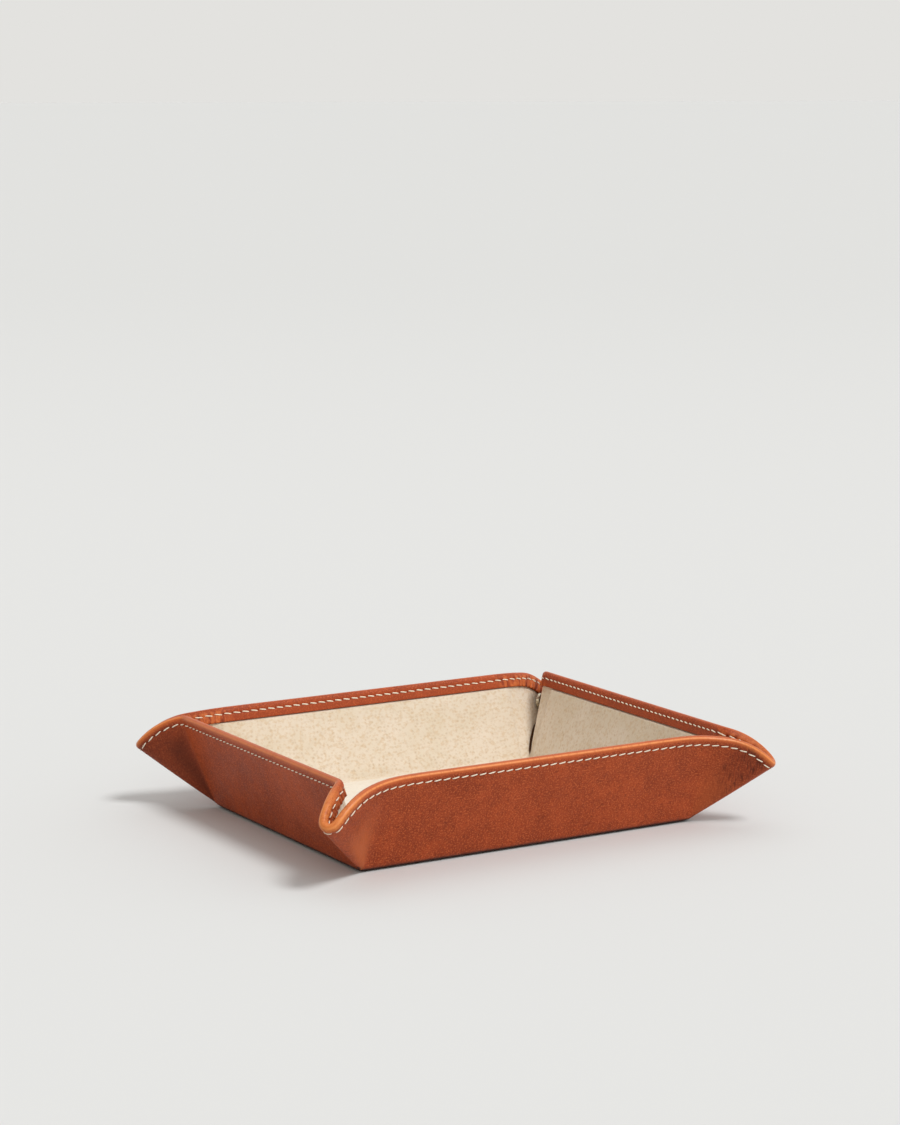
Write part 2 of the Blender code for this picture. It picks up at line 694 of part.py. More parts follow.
def hang(pieces, name, place, axis, angle):
    """An empty at the hinge, whose Z axis is the hinge's; the pieces follow it."""
    hinge = bpy.data.objects.new(name, None)
    bpy.context.collection.objects.link(hinge)
    spin = Vector(axis).to_track_quat("Z", "Y").to_matrix().to_4x4()
    hinge.matrix_world = Matrix.Translation(Vector(place)) @ spin
    hinge.empty_display_size = EAR_RADIUS / 4
    for piece in pieces:
        piece.parent = hinge
        piece.matrix_parent_inverse = hinge.matrix_world.inverted()
    numbers = [", ".join(f"{value:.6f}" for value in row) for row in (place, axis)]
    print(f"HINGE {name} at [{numbers[0]}] axis [{numbers[1]}] opens {np.degrees(angle):.3f}")


def build():
    remove_everything()
    floor_leather()
    floor_lining()
    floor_board()
    for name, hinge in wall_hinges().items():
        half_along = HALF_LENGTH if name in ("front", "back") else HALF_WIDTH
        pieces = [make(name, half_along) for make in (wall_leather, wall_board, wall_lining)]
        hang(pieces, f"{name}_wall_hinge", *hinge)
    for corner in CORNERS:
        halves = ear_pieces(corner)
        socket, stud = snap_pieces(corner)
        crease, fold = corner_hinges(corner)
        hang(halves["long_half"] + halves["fold"] + [socket], f"ear_{corner}_crease_hinge", *crease)
        hang(halves["short_half"] + halves["wall_bend"] + [stud], f"ear_{corner}_fold_hinge", *fold)
    print(f"creases at {np.degrees(SOFT_CREASE):.2f} and {np.degrees(SHARP_CREASE):.2f} degrees")


build()
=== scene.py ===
import bpy
import numpy as np
from mathutils import Matrix, Vector


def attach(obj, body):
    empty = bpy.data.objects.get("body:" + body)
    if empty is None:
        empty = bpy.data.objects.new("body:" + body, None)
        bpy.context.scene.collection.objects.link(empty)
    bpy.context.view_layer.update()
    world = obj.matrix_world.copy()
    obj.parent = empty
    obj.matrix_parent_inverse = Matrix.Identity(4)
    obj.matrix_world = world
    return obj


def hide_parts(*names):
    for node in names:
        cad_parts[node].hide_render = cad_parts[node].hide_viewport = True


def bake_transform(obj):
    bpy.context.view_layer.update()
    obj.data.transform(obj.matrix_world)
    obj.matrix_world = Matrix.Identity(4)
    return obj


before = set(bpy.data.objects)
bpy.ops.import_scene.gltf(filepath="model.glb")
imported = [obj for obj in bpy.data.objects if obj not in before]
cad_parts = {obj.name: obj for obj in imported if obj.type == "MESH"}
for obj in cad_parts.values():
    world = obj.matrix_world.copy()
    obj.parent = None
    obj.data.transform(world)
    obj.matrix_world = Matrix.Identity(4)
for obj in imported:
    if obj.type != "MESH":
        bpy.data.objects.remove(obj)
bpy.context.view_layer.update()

# Dimensions, in metres, the same as in the part's source

FLOOR_LENGTH = 0.150
FLOOR_WIDTH = 0.1175
WALL_HEIGHT = 0.0391
CORNER_RADIUS = WALL_HEIGHT * 0.83
WALL_TILT = np.radians(70.5)
LEATHER = 0.0013
GLUE_LINE = 0.00015
BOARD = 0.0010
LINING = 0.0008
HEM_CATCH = WALL_HEIGHT * 0.057
EAR_RADIUS = WALL_HEIGHT * 1.17
EAR_FOLD_HALF_GAP = 0.0037
EAR_CLOSURE = np.radians(158.0)
EAR_YAW = np.radians(12.3)
SOFT_BEND_SPAN = np.radians(64.0)
SHARP_BEND_SPAN = np.radians(4.0)
SOFT_BEND_REACH = np.radians(36.0)
EDGE_SMOOTHING = 0.0028
BEND_FLAT = (0.0, 0.55, 0.2)
BOARD_SETBACK = 0.0038
RAMP_LENGTH = 0.0016
BOARD_OVERLAP = 0.0003
HALF_LENGTH = FLOOR_LENGTH / 2
HALF_WIDTH = FLOOR_WIDTH / 2
LINING_LOW = GLUE_LINE + LINING
HEM_UNDERSIDE = LINING_LOW + GLUE_LINE
HEM_TOP = 2 * GLUE_LINE + BOARD + LINING
ROLL_RADIUS = (LEATHER + HEM_TOP) / 2
WALLS = ("front", "back", "left", "right")
CORNERS = {"left_near": (-1, -1), "right_near": (1, -1), "left_far": (-1, 1), "right_far": (1, 1)}
CURVE_STEPS = 240

# What only the dressed part has

HEM_WIDTH = WALL_HEIGHT * 0.163
HEM_EXTRA = 0.0016         # the hem is wider by this inside an ear
HEM_WIDENS_FROM = 0.0042   # inset from which it widens there
HEM_DIP = 0.00095          # the lining sinks under the hem within this length
FOOT = 0.0032              # the fold strips reach this far to both sides of a fold line
FOLD_LIFT = 0.85           # how much of the boards' height the lining keeps where it bridges a fold
FOLD_FROM, FOLD_TO = np.radians(32.0), np.radians(58.0)
CONE_START = 0.0003        # the corner's pieces begin this far from its apex
STITCH_INSET = 0.0031
STITCH_COUNTS = {"front": 38, "back": 38, "left": 39, "right": 39}
CORNER_STITCHES = 15
PUCKER_HEIGHT = 0.00022
PUCKERS_FROM, PUCKERS_GROW = 0.0032, 0.0035   # they begin at this inset and grow within this length
MM = 1000


def unit(vectors):
    return vectors / np.linalg.norm(vectors, axis=-1, keepdims=True)


# The corner as a cone: rays of the sheet by their angle from the long wall

def bend_density(s, centres, widths, amounts):
    total = np.zeros_like(s)
    for centre, width, amount, flat in zip(centres, widths, amounts, BEND_FLAT):
        x = np.abs(s - centre) / (width / 2)
        fall = 0.5 + 0.5 * np.cos(np.pi * np.clip((x - flat) / (1 - flat), 0, 1))
        total += amount * fall / (width * (flat + (1 - flat) / 2))
    return total


def run_curve(densities, step):
    cos, sin = np.cos(-SOFT_BEND_REACH), np.sin(-SOFT_BEND_REACH)
    up, along = np.array([0, np.cos(WALL_TILT), np.sin(WALL_TILT)]), np.array([1.0, 0, 0])
    ray, tangent = up * cos + along * sin, along * cos - up * sin
    rays = [ray]
    for density in densities:
        rate = np.sqrt(1 + density * density)
        axis = (np.cross(ray, tangent) + density * ray) / rate
        cos, sin = np.cos(rate * step), np.sin(rate * step)
        ray, tangent = (x * cos + np.cross(axis, x) * sin + axis * (axis @ x) * (1 - cos) for x in (ray, tangent))
        rays.append(ray)
    return np.array(rays), tangent


def solve_corner():
    """Finds the creases that close the corner: the soft one's angle, the sharp one's and the rays."""
    step = (np.pi / 2 + SOFT_BEND_REACH) / CURVE_STEPS
    s = (np.arange(CURVE_STEPS) + 0.5) * step - SOFT_BEND_REACH
    fold_span = EAR_CLOSURE * EAR_FOLD_HALF_GAP / EAR_RADIUS / ((1 + BEND_FLAT[1]) / 2)
    widths = np.array([SOFT_BEND_SPAN, fold_span, SHARP_BEND_SPAN])
    end_ray = np.array([np.cos(WALL_TILT), 0, np.sin(WALL_TILT)])
    end_tangent = np.array([0, -1.0, 0])
    end_normal = np.cross(end_ray, end_tangent)

    def miss(x):
        centres = (x[0], np.pi / 4, np.pi / 2 - x[1])
        amounts = (x[2] / 2 - EAR_YAW, -EAR_CLOSURE, x[2] / 2 + EAR_YAW)
        rays, tangent = run_curve(bend_density(s, centres, widths, amounts), step)
        error = rays[-1] - end_ray
        return np.array([error @ end_tangent, error @ end_normal, tangent @ end_normal]), rays

    crease = 0.75 * np.arctan(np.cos(WALL_TILT))
    x = np.array([crease, crease, 2 * np.arccos(np.sin(WALL_TILT) / np.sqrt(2))])
    for _ in range(12):
        error, rays = miss(x)
        if np.abs(error).max() < 1e-9:
            break
        slopes = np.array([(miss(x + 1e-5 * nudge)[0] - error) / 1e-5 for nudge in np.eye(3)]).T
        change = np.linalg.solve(slopes, -error)
        x = x + change * min(1, 0.15 / np.abs(change).max())
    return x[0], x[1], rays


SOFT_CREASE, SHARP_CREASE, RAYS = solve_corner()
RAY_ANGLES = np.linspace(-SOFT_BEND_REACH, np.pi / 2, CURVE_STEPS + 1)
SHARP_AT = np.pi / 2 - SHARP_CREASE


def ray_at(s):
    return np.array([np.interp(s, RAY_ANGLES, RAYS[:, i]) for i in range(3)]).T


def smooth_ramp(x):
    y = np.clip(x / EDGE_SMOOTHING, -1, 1)
    rounded = EDGE_SMOOTHING * (3 / 16 + y / 2 + 3 / 8 * y**2 - y**4 / 16)
    return np.where(x > EDGE_SMOOTHING, x, rounded)


def corner_excess(a, b):
    inside = (b > 0) & (a > -b * np.tan(SOFT_BEND_REACH))
    a, b = np.where(inside, a, 0), np.where(inside, b, 0)
    rays = ray_at(np.arctan2(a, np.where(inside, b, 1)))
    past = np.maximum(a, 0)
    cos, sin = np.cos(WALL_TILT), np.sin(WALL_TILT)
    flat = np.stack([a - past + past * cos, b * cos, (past + b) * sin], -1)
    return np.where(inside[..., None], np.hypot(a, b)[..., None] * rays - flat, 0)


NODES, WEIGHTS = np.polynomial.legendre.leggauss(8)
WEIGHTS = WEIGHTS * (1 - NODES**2) * 0.75


def inner_face(u, v):
    """Folded place of points (u, v >= 0) of the sheet's inner face."""
    a, b = u - HALF_LENGTH, v - HALF_WIDTH
    up_a, up_b = smooth_ramp(a), smooth_ramp(b)
    lean, rise = np.cos(WALL_TILT) - 1, np.sin(WALL_TILT)
    place = np.stack([u + up_a * lean, v + up_b * lean, LEATHER + (up_a + up_b) * rise], -1)
    near = (b > -EDGE_SMOOTHING) & (a > -(b + EDGE_SMOOTHING) * np.tan(SOFT_BEND_REACH) - EDGE_SMOOTHING)
    a, b = a[near], b[near]
    added = np.zeros((len(a), 3))
    for x, wx in zip(NODES, WEIGHTS):
        for y, wy in zip(NODES, WEIGHTS):
            added += wx * wy * corner_excess(a + x * EDGE_SMOOTHING, b + y * EDGE_SMOOTHING)
    place[near] += added
    return place


def rest_shape(points):
    """Folds flat points (u, v, w), shape (n, 3), into the snapped pose; also gives the sheet's normal."""
    points = np.asarray(points, float)
    sides = np.where(points[:, :2] < 0, -1.0, 1.0)
    u, v = np.abs(points[:, 0]), np.abs(points[:, 1])
    reach = 2e-5
    place = inner_face(u, v)
    along_u = inner_face(u + reach, v) - inner_face(u - reach, v)
    along_v = inner_face(u, v + reach) - inner_face(u, v - reach)
    normal = unit(np.cross(along_u, along_v))
    mirror = np.concatenate([sides, np.ones((len(points), 1))], -1)
    return (place + normal * points[:, 2:3]) * mirror, normal * mirror


def outline_radius(s, inset):
    """Distance from a corner's apex to the sheet's edge, less an inset, at an angle."""
    along, out = np.sin(s), np.cos(s)
    centre, round_off = WALL_HEIGHT - CORNER_RADIUS, CORNER_RADIUS - inset
    middle = centre * (along + out)
    arc = middle + np.sqrt(np.maximum(round_off**2 - 2 * centre**2 + middle**2, 0))
    straight = (WALL_HEIGHT - inset) / np.maximum(np.maximum(along, out), 1e-9)
    on_arc = (arc * along > centre) & (arc * out > centre)
    return np.where(on_arc, arc, straight)


# Length along the stitch line round a corner
TURN = np.linspace(0, np.pi / 2, 721)
STITCH_RADIUS = outline_radius(TURN, STITCH_INSET)
STITCH_LINE = np.stack([STITCH_RADIUS * np.sin(TURN), STITCH_RADIUS * np.cos(TURN)], -1)
TURN_LENGTH = np.concatenate([[0], np.cumsum(np.linalg.norm(np.diff(STITCH_LINE, axis=0), axis=1))])
CORNER_LENGTH = TURN_LENGTH[-1]


def smooth_step(x):
    x = np.clip(x, 0, 1)
    return x * x * (3 - 2 * x)


def board_lift(u, v):
    """How far the boards raise the lining at a point of the sheet, from 0 to 1."""
    lean = min(0, WALL_HEIGHT * np.tan(SOFT_CREASE))
    low, high = BOARD_SETBACK, WALL_HEIGHT - HEM_WIDTH - HEM_DIP
    u, v = np.abs(u), np.abs(v)
    inside = [np.minimum(HALF_LENGTH - BOARD_SETBACK - u, HALF_WIDTH - BOARD_SETBACK - v)]
    bridges = []
    for along, out, half in ((u, v - HALF_WIDTH, HALF_LENGTH + lean), (v, u - HALF_LENGTH, HALF_WIDTH)):
        end = half - BOARD_SETBACK - along
        inside.append(np.minimum(np.minimum(end, out - low), (high - out) * 2))
        bridges.append(smooth_step(end / RAMP_LENGTH + 1) * smooth_step((low - np.abs(out)) / RAMP_LENGTH + 1))
    lift = smooth_step((np.max(inside, axis=0) + BOARD_OVERLAP + RAMP_LENGTH) / RAMP_LENGTH)
    return np.maximum(lift, FOLD_LIFT * np.max(bridges, axis=0))


# Profiles: stations (kind, value, w, texture inset, material). The kinds are "share" and "lined", shares of the way
# from the start to RIM and to the hem, "edge", an inset from the sheet's edge, "flap", an inset on the turned hem,
# which gathers at the corners, and "radius", a distance from the corner's apex

RIM = 0.0085
RIM_INSETS = (0.0066, 0.0052)
SHARES = (0, 0.035, 0.07, 0.1, 0.19, 0.3, 0.42, 0.55, 0.7, 0.85, 1.0)
LINING_SHARES = (0, 0.03, 0.06, 0.09, 0.13, 0.2, 0.3, 0.42, 0.55, 0.68, 0.8, 0.88, 0.94, 0.965, 0.975, 0.985,
                 0.993, 1.0)
SEAM_DENTS = ((-0.0009, -0.00005), (-0.00055, 0.00001), (-0.00028, 0.00006), (0, 0.00010), (0.00028, 0.00006),
              (0.00055, 0.00001), (0.0011, -0.00003))
HEM_DROPS = ((0.0048, 0), (0.0054, 0), (HEM_WIDTH - 0.00045, 0), (HEM_WIDTH - 0.00012, 0.00006), (HEM_WIDTH, 0.0002))
ROLL_STEPS = 14
SLOT_MIDDLE = 0.0047
ROLLED = ROLL_RADIUS * (np.pi - 2)   # the leather's extra length round its rolled edge
HIDDEN = 0.02              # texture inset of hidden inner faces, clear of the rim's marks
FACE, FLESH = 0, 1


def leather_profile():
    stations = [("share", x, -LEATHER, None, FACE) for x in SHARES]
    stations += [("edge", inset, -LEATHER, inset, FACE) for inset in RIM_INSETS]
    for offset, dent in SEAM_DENTS[::-1]:
        inset = STITCH_INSET + offset
        stations.append(("edge", inset, -LEATHER + dent, inset, FACE))
    for i in range(ROLL_STEPS + 1):
        turn = np.pi * (i / ROLL_STEPS - 0.5)
        inset, w = ROLL_RADIUS * (1 - np.cos(turn)), HEM_TOP - ROLL_RADIUS + ROLL_RADIUS * np.sin(turn)
        stations.append(("edge", inset, w, ROLL_RADIUS * (1 - turn - np.pi / 2), FACE))
    for inset, drop in [(STITCH_INSET + offset, dent) for offset, dent in SEAM_DENTS] + list(HEM_DROPS):
        stations.append(("flap", inset, HEM_TOP - drop, -ROLLED - inset, FACE))
    slot_end = LEATHER + HEM_UNDERSIDE / 4
    turn_in = (slot_end + HEM_CATCH) / 2
    slot = [(HEM_WIDTH, 1), (SLOT_MIDDLE, 1), (HEM_CATCH, 1), (turn_in, 7 / 8), (slot_end, 1 / 2), (turn_in, 1 / 8)]
    for inset, share in slot + [(HEM_CATCH, 0), (SLOT_MIDDLE, 0)]:
        stations.append(("edge", inset, HEM_UNDERSIDE * share, HIDDEN, FLESH))
    return stations + [("share", x, 0.0, HIDDEN, FLESH) for x in SHARES[::-1]]


def lining_profile():
    places = [("lined", x) for x in LINING_SHARES] + [("edge", SLOT_MIDDLE), ("edge", HEM_CATCH + 2 * GLUE_LINE)]
    low = [(kind, x, GLUE_LINE, None, FACE) for kind, x in places]
    return low + [(kind, x, GLUE_LINE + LINING, None, FACE) for kind, x in places[::-1]]


def gather(turn, inset):
    """Small puckers of the hem where it is turned in round a corner."""
    run = np.interp(turn, TURN, TURN_LENGTH) * MM
    reach = smooth_step((inset - PUCKERS_FROM) / PUCKERS_GROW)
    strength = smooth_step(turn / np.radians(16)) * smooth_step((np.pi / 2 - turn) / np.radians(14))
    wave = (np.sin(run * 2.3 + 0.8 * np.sin(run * 0.37)) + 0.6 * np.sin(run * 3.7 + 1.9)
            + 0.4 * np.sin(run * 1.1 + 0.5))
    return PUCKER_HEIGHT * strength * reach * wave


# Columns: flat points, texture places (m) and rim coordinates (stitch count, inset in mm) of one ring

def is_long(wall):
    return wall in ("front", "back")


def half_of(wall):
    return HALF_LENGTH if is_long(wall) else HALF_WIDTH


def sheet_place(name, along, out, w):
    return {"front": (along, -HALF_WIDTH - out, w), "back": (along, HALF_WIDTH + out, w),
            "left": (-HALF_LENGTH - out, along, w), "right": (HALF_LENGTH + out, along, w)}[name]


def wall_column(name, foot, top, stations):
    points, texture, rim = [], [], []
    for kind, value, w, inset, _ in stations:
        out = WALL_HEIGHT - value
        if kind == "share":
            out = FOOT + value * (WALL_HEIGHT - RIM - FOOT)
        elif kind == "lined":
            out = FOOT + value * (WALL_HEIGHT - HEM_WIDTH - FOOT)
        along = foot + (top - foot) * (out - FOOT) / (WALL_HEIGHT - FOOT)
        points.append(sheet_place(name, along, out, w))
        shown = out if inset is None or kind == "share" else WALL_HEIGHT - inset
        texture.append(sheet_place(name, along, shown, 0)[:2])
        half = half_of(name)
        rim.append(((along + half) / (2 * half) * STITCH_COUNTS[name], (WALL_HEIGHT - shown) * MM))
    return np.array(points), np.array(texture), np.array(rim)


def lining_start(s):
    """Where the lining begins on an ear, cut back towards the tip so that the leather can pinch."""
    from_wall = min(s, np.pi / 2 - s)
    return np.interp(from_wall, np.radians([0, 10, 20, 32, 45]), [0.0045, 0.0075, 0.0125, 0.0203, 0.0203])


def hem_place(s, value):
    return value + HEM_EXTRA * np.sin(2 * s)**2 * max(0, value - HEM_WIDENS_FROM) / (HEM_WIDTH - HEM_WIDENS_FROM)


def corner_column(corner, s, stations):
    side_u, side_v = CORNERS[corner]
    along, out = np.sin(s), np.cos(s)
    points, texture, rim = [], [], []
    begin = lining_start(s)
    for kind, value, w, inset, _ in stations:
        if kind == "share":
            r = CONE_START + value * (outline_radius(s, RIM) - CONE_START)
        elif kind == "lined":
            r = begin + value * (outline_radius(s, hem_place(s, HEM_WIDTH)) - begin)
        elif kind == "radius":
            r = value
        else:
            r = outline_radius(s, value if w < 0 else hem_place(s, value))
        if kind == "flap":
            w = w + gather(s, value)
        plain = inset is None or kind in ("share", "radius")
        shown = r if plain else outline_radius(s, inset)
        points.append((side_u * (HALF_LENGTH + r * along), side_v * (HALF_WIDTH + r * out), w))
        texture.append((side_u * (HALF_LENGTH + shown * along), side_v * (HALF_WIDTH + shown * out)))
        depth = outline_radius(s, 0) - r if plain else inset
        rim.append((np.interp(s, TURN, TURN_LENGTH) / CORNER_LENGTH * CORNER_STITCHES, depth * MM))
    return np.array(points), np.array(texture), np.array(rim)


def strip_column(name, share, stations):
    """A ring across the fold between the floor and a wall, at a share of its length; its ends are mitred."""
    points, texture, rim = [], [], []
    for b, w in stations:
        end = half_of(name) + min(0, b)
        along = -end + 2 * end * share
        points.append(sheet_place(name, along, b, w))
        texture.append(sheet_place(name, along, b, 0)[:2])
        rim.append((0.0, (WALL_HEIGHT - b) * MM))
    return np.array(points), np.array(texture), np.array(rim)


# Meshes

class Build:
    """Gathers closed ringed solids into one mesh, with smooth normals that run on across its seams."""

    def __init__(self, lined):
        self.points, self.faces, self.kinds, self.texture, self.rim, self.seams = [], [], [], [], [], []
        self.lined, self.count = lined, 0

    def ring(self, columns, kinds):
        """columns has a spare one at each end, which only steers the normals."""
        flat = np.array([c[0] for c in columns])
        if self.lined:
            flat[..., 2] += board_lift(flat[..., 0], flat[..., 1]) * (GLUE_LINE + BOARD)
        n, k = flat.shape[:2]
        place = rest_shape(flat.reshape(-1, 3))[0].reshape(n, k, 3)
        side = [np.cross(place[i + 1] - place[i - 1], np.roll(place[i], -1, 0) - np.roll(place[i], 1, 0))
                for i in (1, n - 2)]
        steps = np.roll(place[1], -1, 0) - place[1]
        steps /= np.linalg.norm(steps, axis=1, keepdims=True) + 1e-12
        smooth = (steps * np.roll(steps, 1, 0)).sum(1) > 0.8
        base, n = self.count, n - 2
        self.points.append(place[1:-1].reshape(-1, 3))
        self.texture += [c[1] for c in columns[1:-1]]
        self.rim += [c[2] for c in columns[1:-1]]
        self.faces += ring_faces(base, n, k)
        self.kinds += [*kinds[:-1], FLESH] * (n - 1) + [FLESH, FLESH]
        for column, normals in zip((0, n - 1), side):
            normals = normals / (np.linalg.norm(normals, axis=1, keepdims=True) + 1e-12)
            for j in range(k):
                if smooth[j]:
                    self.seams.append((base + column * k + j, normals[j]))
        self.count += n * k

    def done(self, name, materials):
        mesh = bpy.data.meshes.new(name)
        mesh.from_pydata(np.concatenate(self.points).tolist(), [], self.faces)
        if signed_volume(mesh) < 0:
            mesh.flip_normals()
            self.seams = [(i, -normal) for i, normal in self.seams]
        mesh.polygons.foreach_set("material_index", self.kinds)
        lay_uv(mesh, "sheet", np.concatenate(self.texture))
        lay_uv(mesh, "rim", np.concatenate(self.rim))
        made = new_object(name, mesh, materials)
        soften(mesh, dict(self.seams))
        return made


def ring_faces(base, rings, size):
    """Quads from each ring of vertices to the next one, and a cap at both ends."""
    faces = []
    for low in range(base, base + (rings - 1) * size, size):
        for j in range(size):
            m = (j + 1) % size
            faces.append((low + j, low + size + j, low + size + m, low + m))
    last = base + (rings - 1) * size
    return faces + [tuple(range(base, base + size)), tuple(range(last, last + size))[::-1]]


def lay_uv(mesh, name, values):
    uv = mesh.uv_layers.new(name=name)
    index = np.empty(len(mesh.loops), np.int32)
    mesh.loops.foreach_get("vertex_index", index)
    uv.data.foreach_set("uv", values[index].ravel())


def signed_volume(mesh):
    total = 0.0
    co = [v.co for v in mesh.vertices]
    for p in mesh.polygons:
        v = p.vertices
        for i in range(1, len(v) - 1):
            total += co[v[0]].dot(co[v[i]].cross(co[v[i + 1]]))
    return total


def new_object(name, data, materials=()):
    made = bpy.data.objects.new(name, data)
    bpy.context.scene.collection.objects.link(made)
    for material in materials:
        data.materials.append(material)
    return made


def soften(mesh, seams, angle=38):
    """Smooth faces, sharp edges by angle, and given normals at the seams' vertices on the faces they fit."""
    mesh.polygons.foreach_set("use_smooth", [True] * len(mesh.polygons))
    mesh.set_sharp_from_angle(angle=np.radians(angle))
    if not seams:
        return
    normals = [Vector((0, 0, 0))] * len(mesh.loops)
    for p in mesh.polygons:
        if len(p.vertices) > 4:
            continue
        for i in p.loop_indices:
            given = seams.get(mesh.loops[i].vertex_index)
            if given is not None:
                given = Vector(given)
                if given.dot(p.normal) < 0:
                    given = -given
                if given.dot(p.normal) > 0.55:
                    normals[i] = given
    mesh.normals_split_custom_set(normals)


# Where the bends are, for pieces that cross a joint

def plane_normal(first, last):
    """Normal, towards the lining, of the corner's plane between two angles."""
    rays = ray_at(np.radians([first, last]))
    return unit(np.cross(rays[1], rays[0]))


def corner_axes():
    """Directions across the crease and across the fold of the corner with u, v > 0, at rest."""
    wall = np.array([0, -np.sin(WALL_TILT), np.cos(WALL_TILT)])
    long_half, short_half = plane_normal(29, 36), plane_normal(54, 77)
    crease = unit(np.cross(long_half, wall))
    across = unit(np.cross(crease, wall) + np.cross(crease, long_half))
    if across[0] < 0:
        across = -across
    fold = unit(long_half - short_half)
    if fold @ (ray_at(np.radians(60.0)) - ray_at(np.radians(30.0))) < 0:
        fold = -fold
    return across, fold


CREASE_ACROSS, FOLD_ACROSS = corner_axes()
CREASE_REACH = 0.012       # how far the crease piece reaches to both sides of the crease
FOLD_REACH = 0.0022        # how far the fold reaches to both sides of it, at the rim
LINING_FOLD_REACH = 0.0014
STRIP_LINING_SHARE = 0.22  # a share of the strips' width at each side, for their lining
CREASE_FOOT = CREASE_REACH / np.cos(SOFT_CREASE)


def crease_line(out):
    """How far from the wall's end the crease piece begins, at a height."""
    return -CREASE_FOOT + out * np.tan(SOFT_CREASE)


def at_corner(corner, direction, distance):
    mirror = np.array([*CORNERS[corner], 1.0])
    apex = np.array([HALF_LENGTH, HALF_WIDTH, LEATHER])
    return tuple(float(x) for x in (apex + direction * distance) * mirror)


def wall_of(corner):
    return "front" if corner.endswith("near") else "back"


def side_of(corner):
    return "left" if corner.startswith("left") else "right"


def blend_crease(piece, corner):
    ends = [at_corner(corner, CREASE_ACROSS, d) for d in (-CREASE_REACH, CREASE_REACH)]
    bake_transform(piece)


def blend_fold(piece, corner, reach):
    ends = [at_corner(corner, FOLD_ACROSS, d) for d in (-reach, reach)]
    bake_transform(piece)


# Materials. Colours are sRGB levels where they aren't named linear; insets are in millimetres

BROWN_DARK, BROWN_LIGHT = (140, 57, 28), (176, 78, 40)
SPECKLE_DARK, SPECKLE_LIGHT = (112, 42, 20), (206, 106, 60)
# The crest colour is a painted highlight along the rim's crest
ROLL_COLOUR, CREST_HIGHLIGHT_COLOUR, WORN_COLOUR = (186, 92, 42), (224, 140, 80), (220, 134, 66)
# The foot colour is painted shade along the walls' foot
HEM_COLOUR, CUT_COLOUR, FOOT_SHADE_COLOUR = (160, 72, 38), (104, 50, 32), (30, 14, 9)
GROOVE_COLOUR, HOLE_SHADE_COLOUR = (110, 44, 20), (52, 20, 10)
# The ear shade colour paints shade on an ear's outer side; the shade colour paints shade by the wall
PULLED_COLOUR, EAR_SHADE_COLOUR, SHADE_COLOUR = (192, 99, 54), (84, 36, 20), (84, 34, 18)
WRINKLE_COLOUR, WRINKLED_COLOUR = (88, 35, 18), (112, 46, 24)
PUCKER_RIDGE_HIGHLIGHT, PUCKER_DIP_SHADE = (206, 112, 58), (96, 38, 20)
CREAM_DARK, CREAM_LIGHT, CREAM_WARM = (216, 203, 182), (223, 211, 194), (203, 183, 156)
FLECK_COLOUR, PORE_COLOUR = (206, 180, 144), (188, 154, 114)
NAP_COLOUR, FLOOR_PAINTED_LIGHT = (228, 220, 205), (228, 223, 210)
LONG_WALL_HIGHLIGHT, SIDE_WALL_HIGHLIGHT = 0.9, 0.35   # strength of the painted highlight on the rim's crest: on the long walls, and on the left and right ones
# For each ear: how wrinkled, how worn at the tip, how pulled-up at the foot, and how much painted shade darkens its
# outer side
EAR_LOOKS = {"left_near": (0.25, 0.65, 0.85, 0.0), "right_near": (1.0, 0.35, 0.4, 0.1),
             "left_far": (0.7, 0.3, 0.2, 0.5), "right_far": (0.8, 0.4, 0.4, 0.1)}


def put(value, socket):
    """Links a Value to a socket, or sets the socket to a number or a linear colour."""
    if isinstance(value, Value):
        value.tree.links.new(value.socket, socket)
    elif value is not None:
        socket.default_value = (*value, 1) if isinstance(value, tuple) else value


def add(tree, kind, **values):
    """A new node, with its inputs and properties by name."""
    node = tree.nodes.new(f"ShaderNode{kind}")
    for key, value in values.items():
        if key in node.inputs:
            put(value, node.inputs[key])
        else:
            setattr(node, key, value)
    return node


def output(tree, kind, which=0, **values):
    return Value(tree, add(tree, kind, **values).outputs[which])


class Value:
    """A node's output, with arithmetic that adds math nodes."""

    def __init__(self, tree, socket):
        self.tree, self.socket = tree, socket

    def math(self, operation, *others):
        node = add(self.tree, "Math", operation=operation)
        for value, socket in zip((self, *others), node.inputs):
            put(value, socket)
        return Value(self.tree, node.outputs[0])

    def __mul__(self, other):
        return self.math("MULTIPLY", other)

    def __add__(self, other):
        return self.math("ADD", other)

    def __sub__(self, other):
        return self.math("SUBTRACT", other)

    def __abs__(self):
        return self.math("ABSOLUTE")

    def ranged(self, low, high, to_low=0.0, to_high=1.0, smooth=True):
        return output(self.tree, "MapRange", interpolation_type="SMOOTHSTEP" if smooth else "LINEAR", Value=self,
                      **{"From Min": low, "From Max": high, "To Min": to_low, "To Max": to_high})


def blend_colour(share, a, b):
    """a and b are Values or linear colours."""
    node = add(share.tree, "Mix", data_type="RGBA")
    for value, socket in ((share, 0), (a, 6), (b, 7)):
        put(value, node.inputs[socket])
    return Value(share.tree, node.outputs[2])


def linear(r, g, b):
    return tuple(((c / 255 + 0.055) / 1.055) ** 2.4 if c > 10 else c / 255 / 12.92 for c in (r, g, b))


def paint(colour, *coats):
    """Covers a Value or a colour with coats, each a share and a tint."""
    for share, tint in coats:
        colour = blend_colour(share, linear(*colour) if isinstance(colour, tuple) else colour, linear(*tint))
    return colour


def sheet_vector(tree, scale, stretch=(1, 1), shift=0.0):
    """The flat sheet's coordinates, in millimetres times a scale."""
    mapping = add(tree, "Mapping", Vector=output(tree, "UVMap", uv_map="sheet"))
    mapping.inputs["Scale"].default_value = (MM * scale * stretch[0], MM * scale * stretch[1], 1)
    mapping.inputs["Location"].default_value = (shift, shift * 0.7, shift * 1.3)
    return Value(tree, mapping.outputs[0])


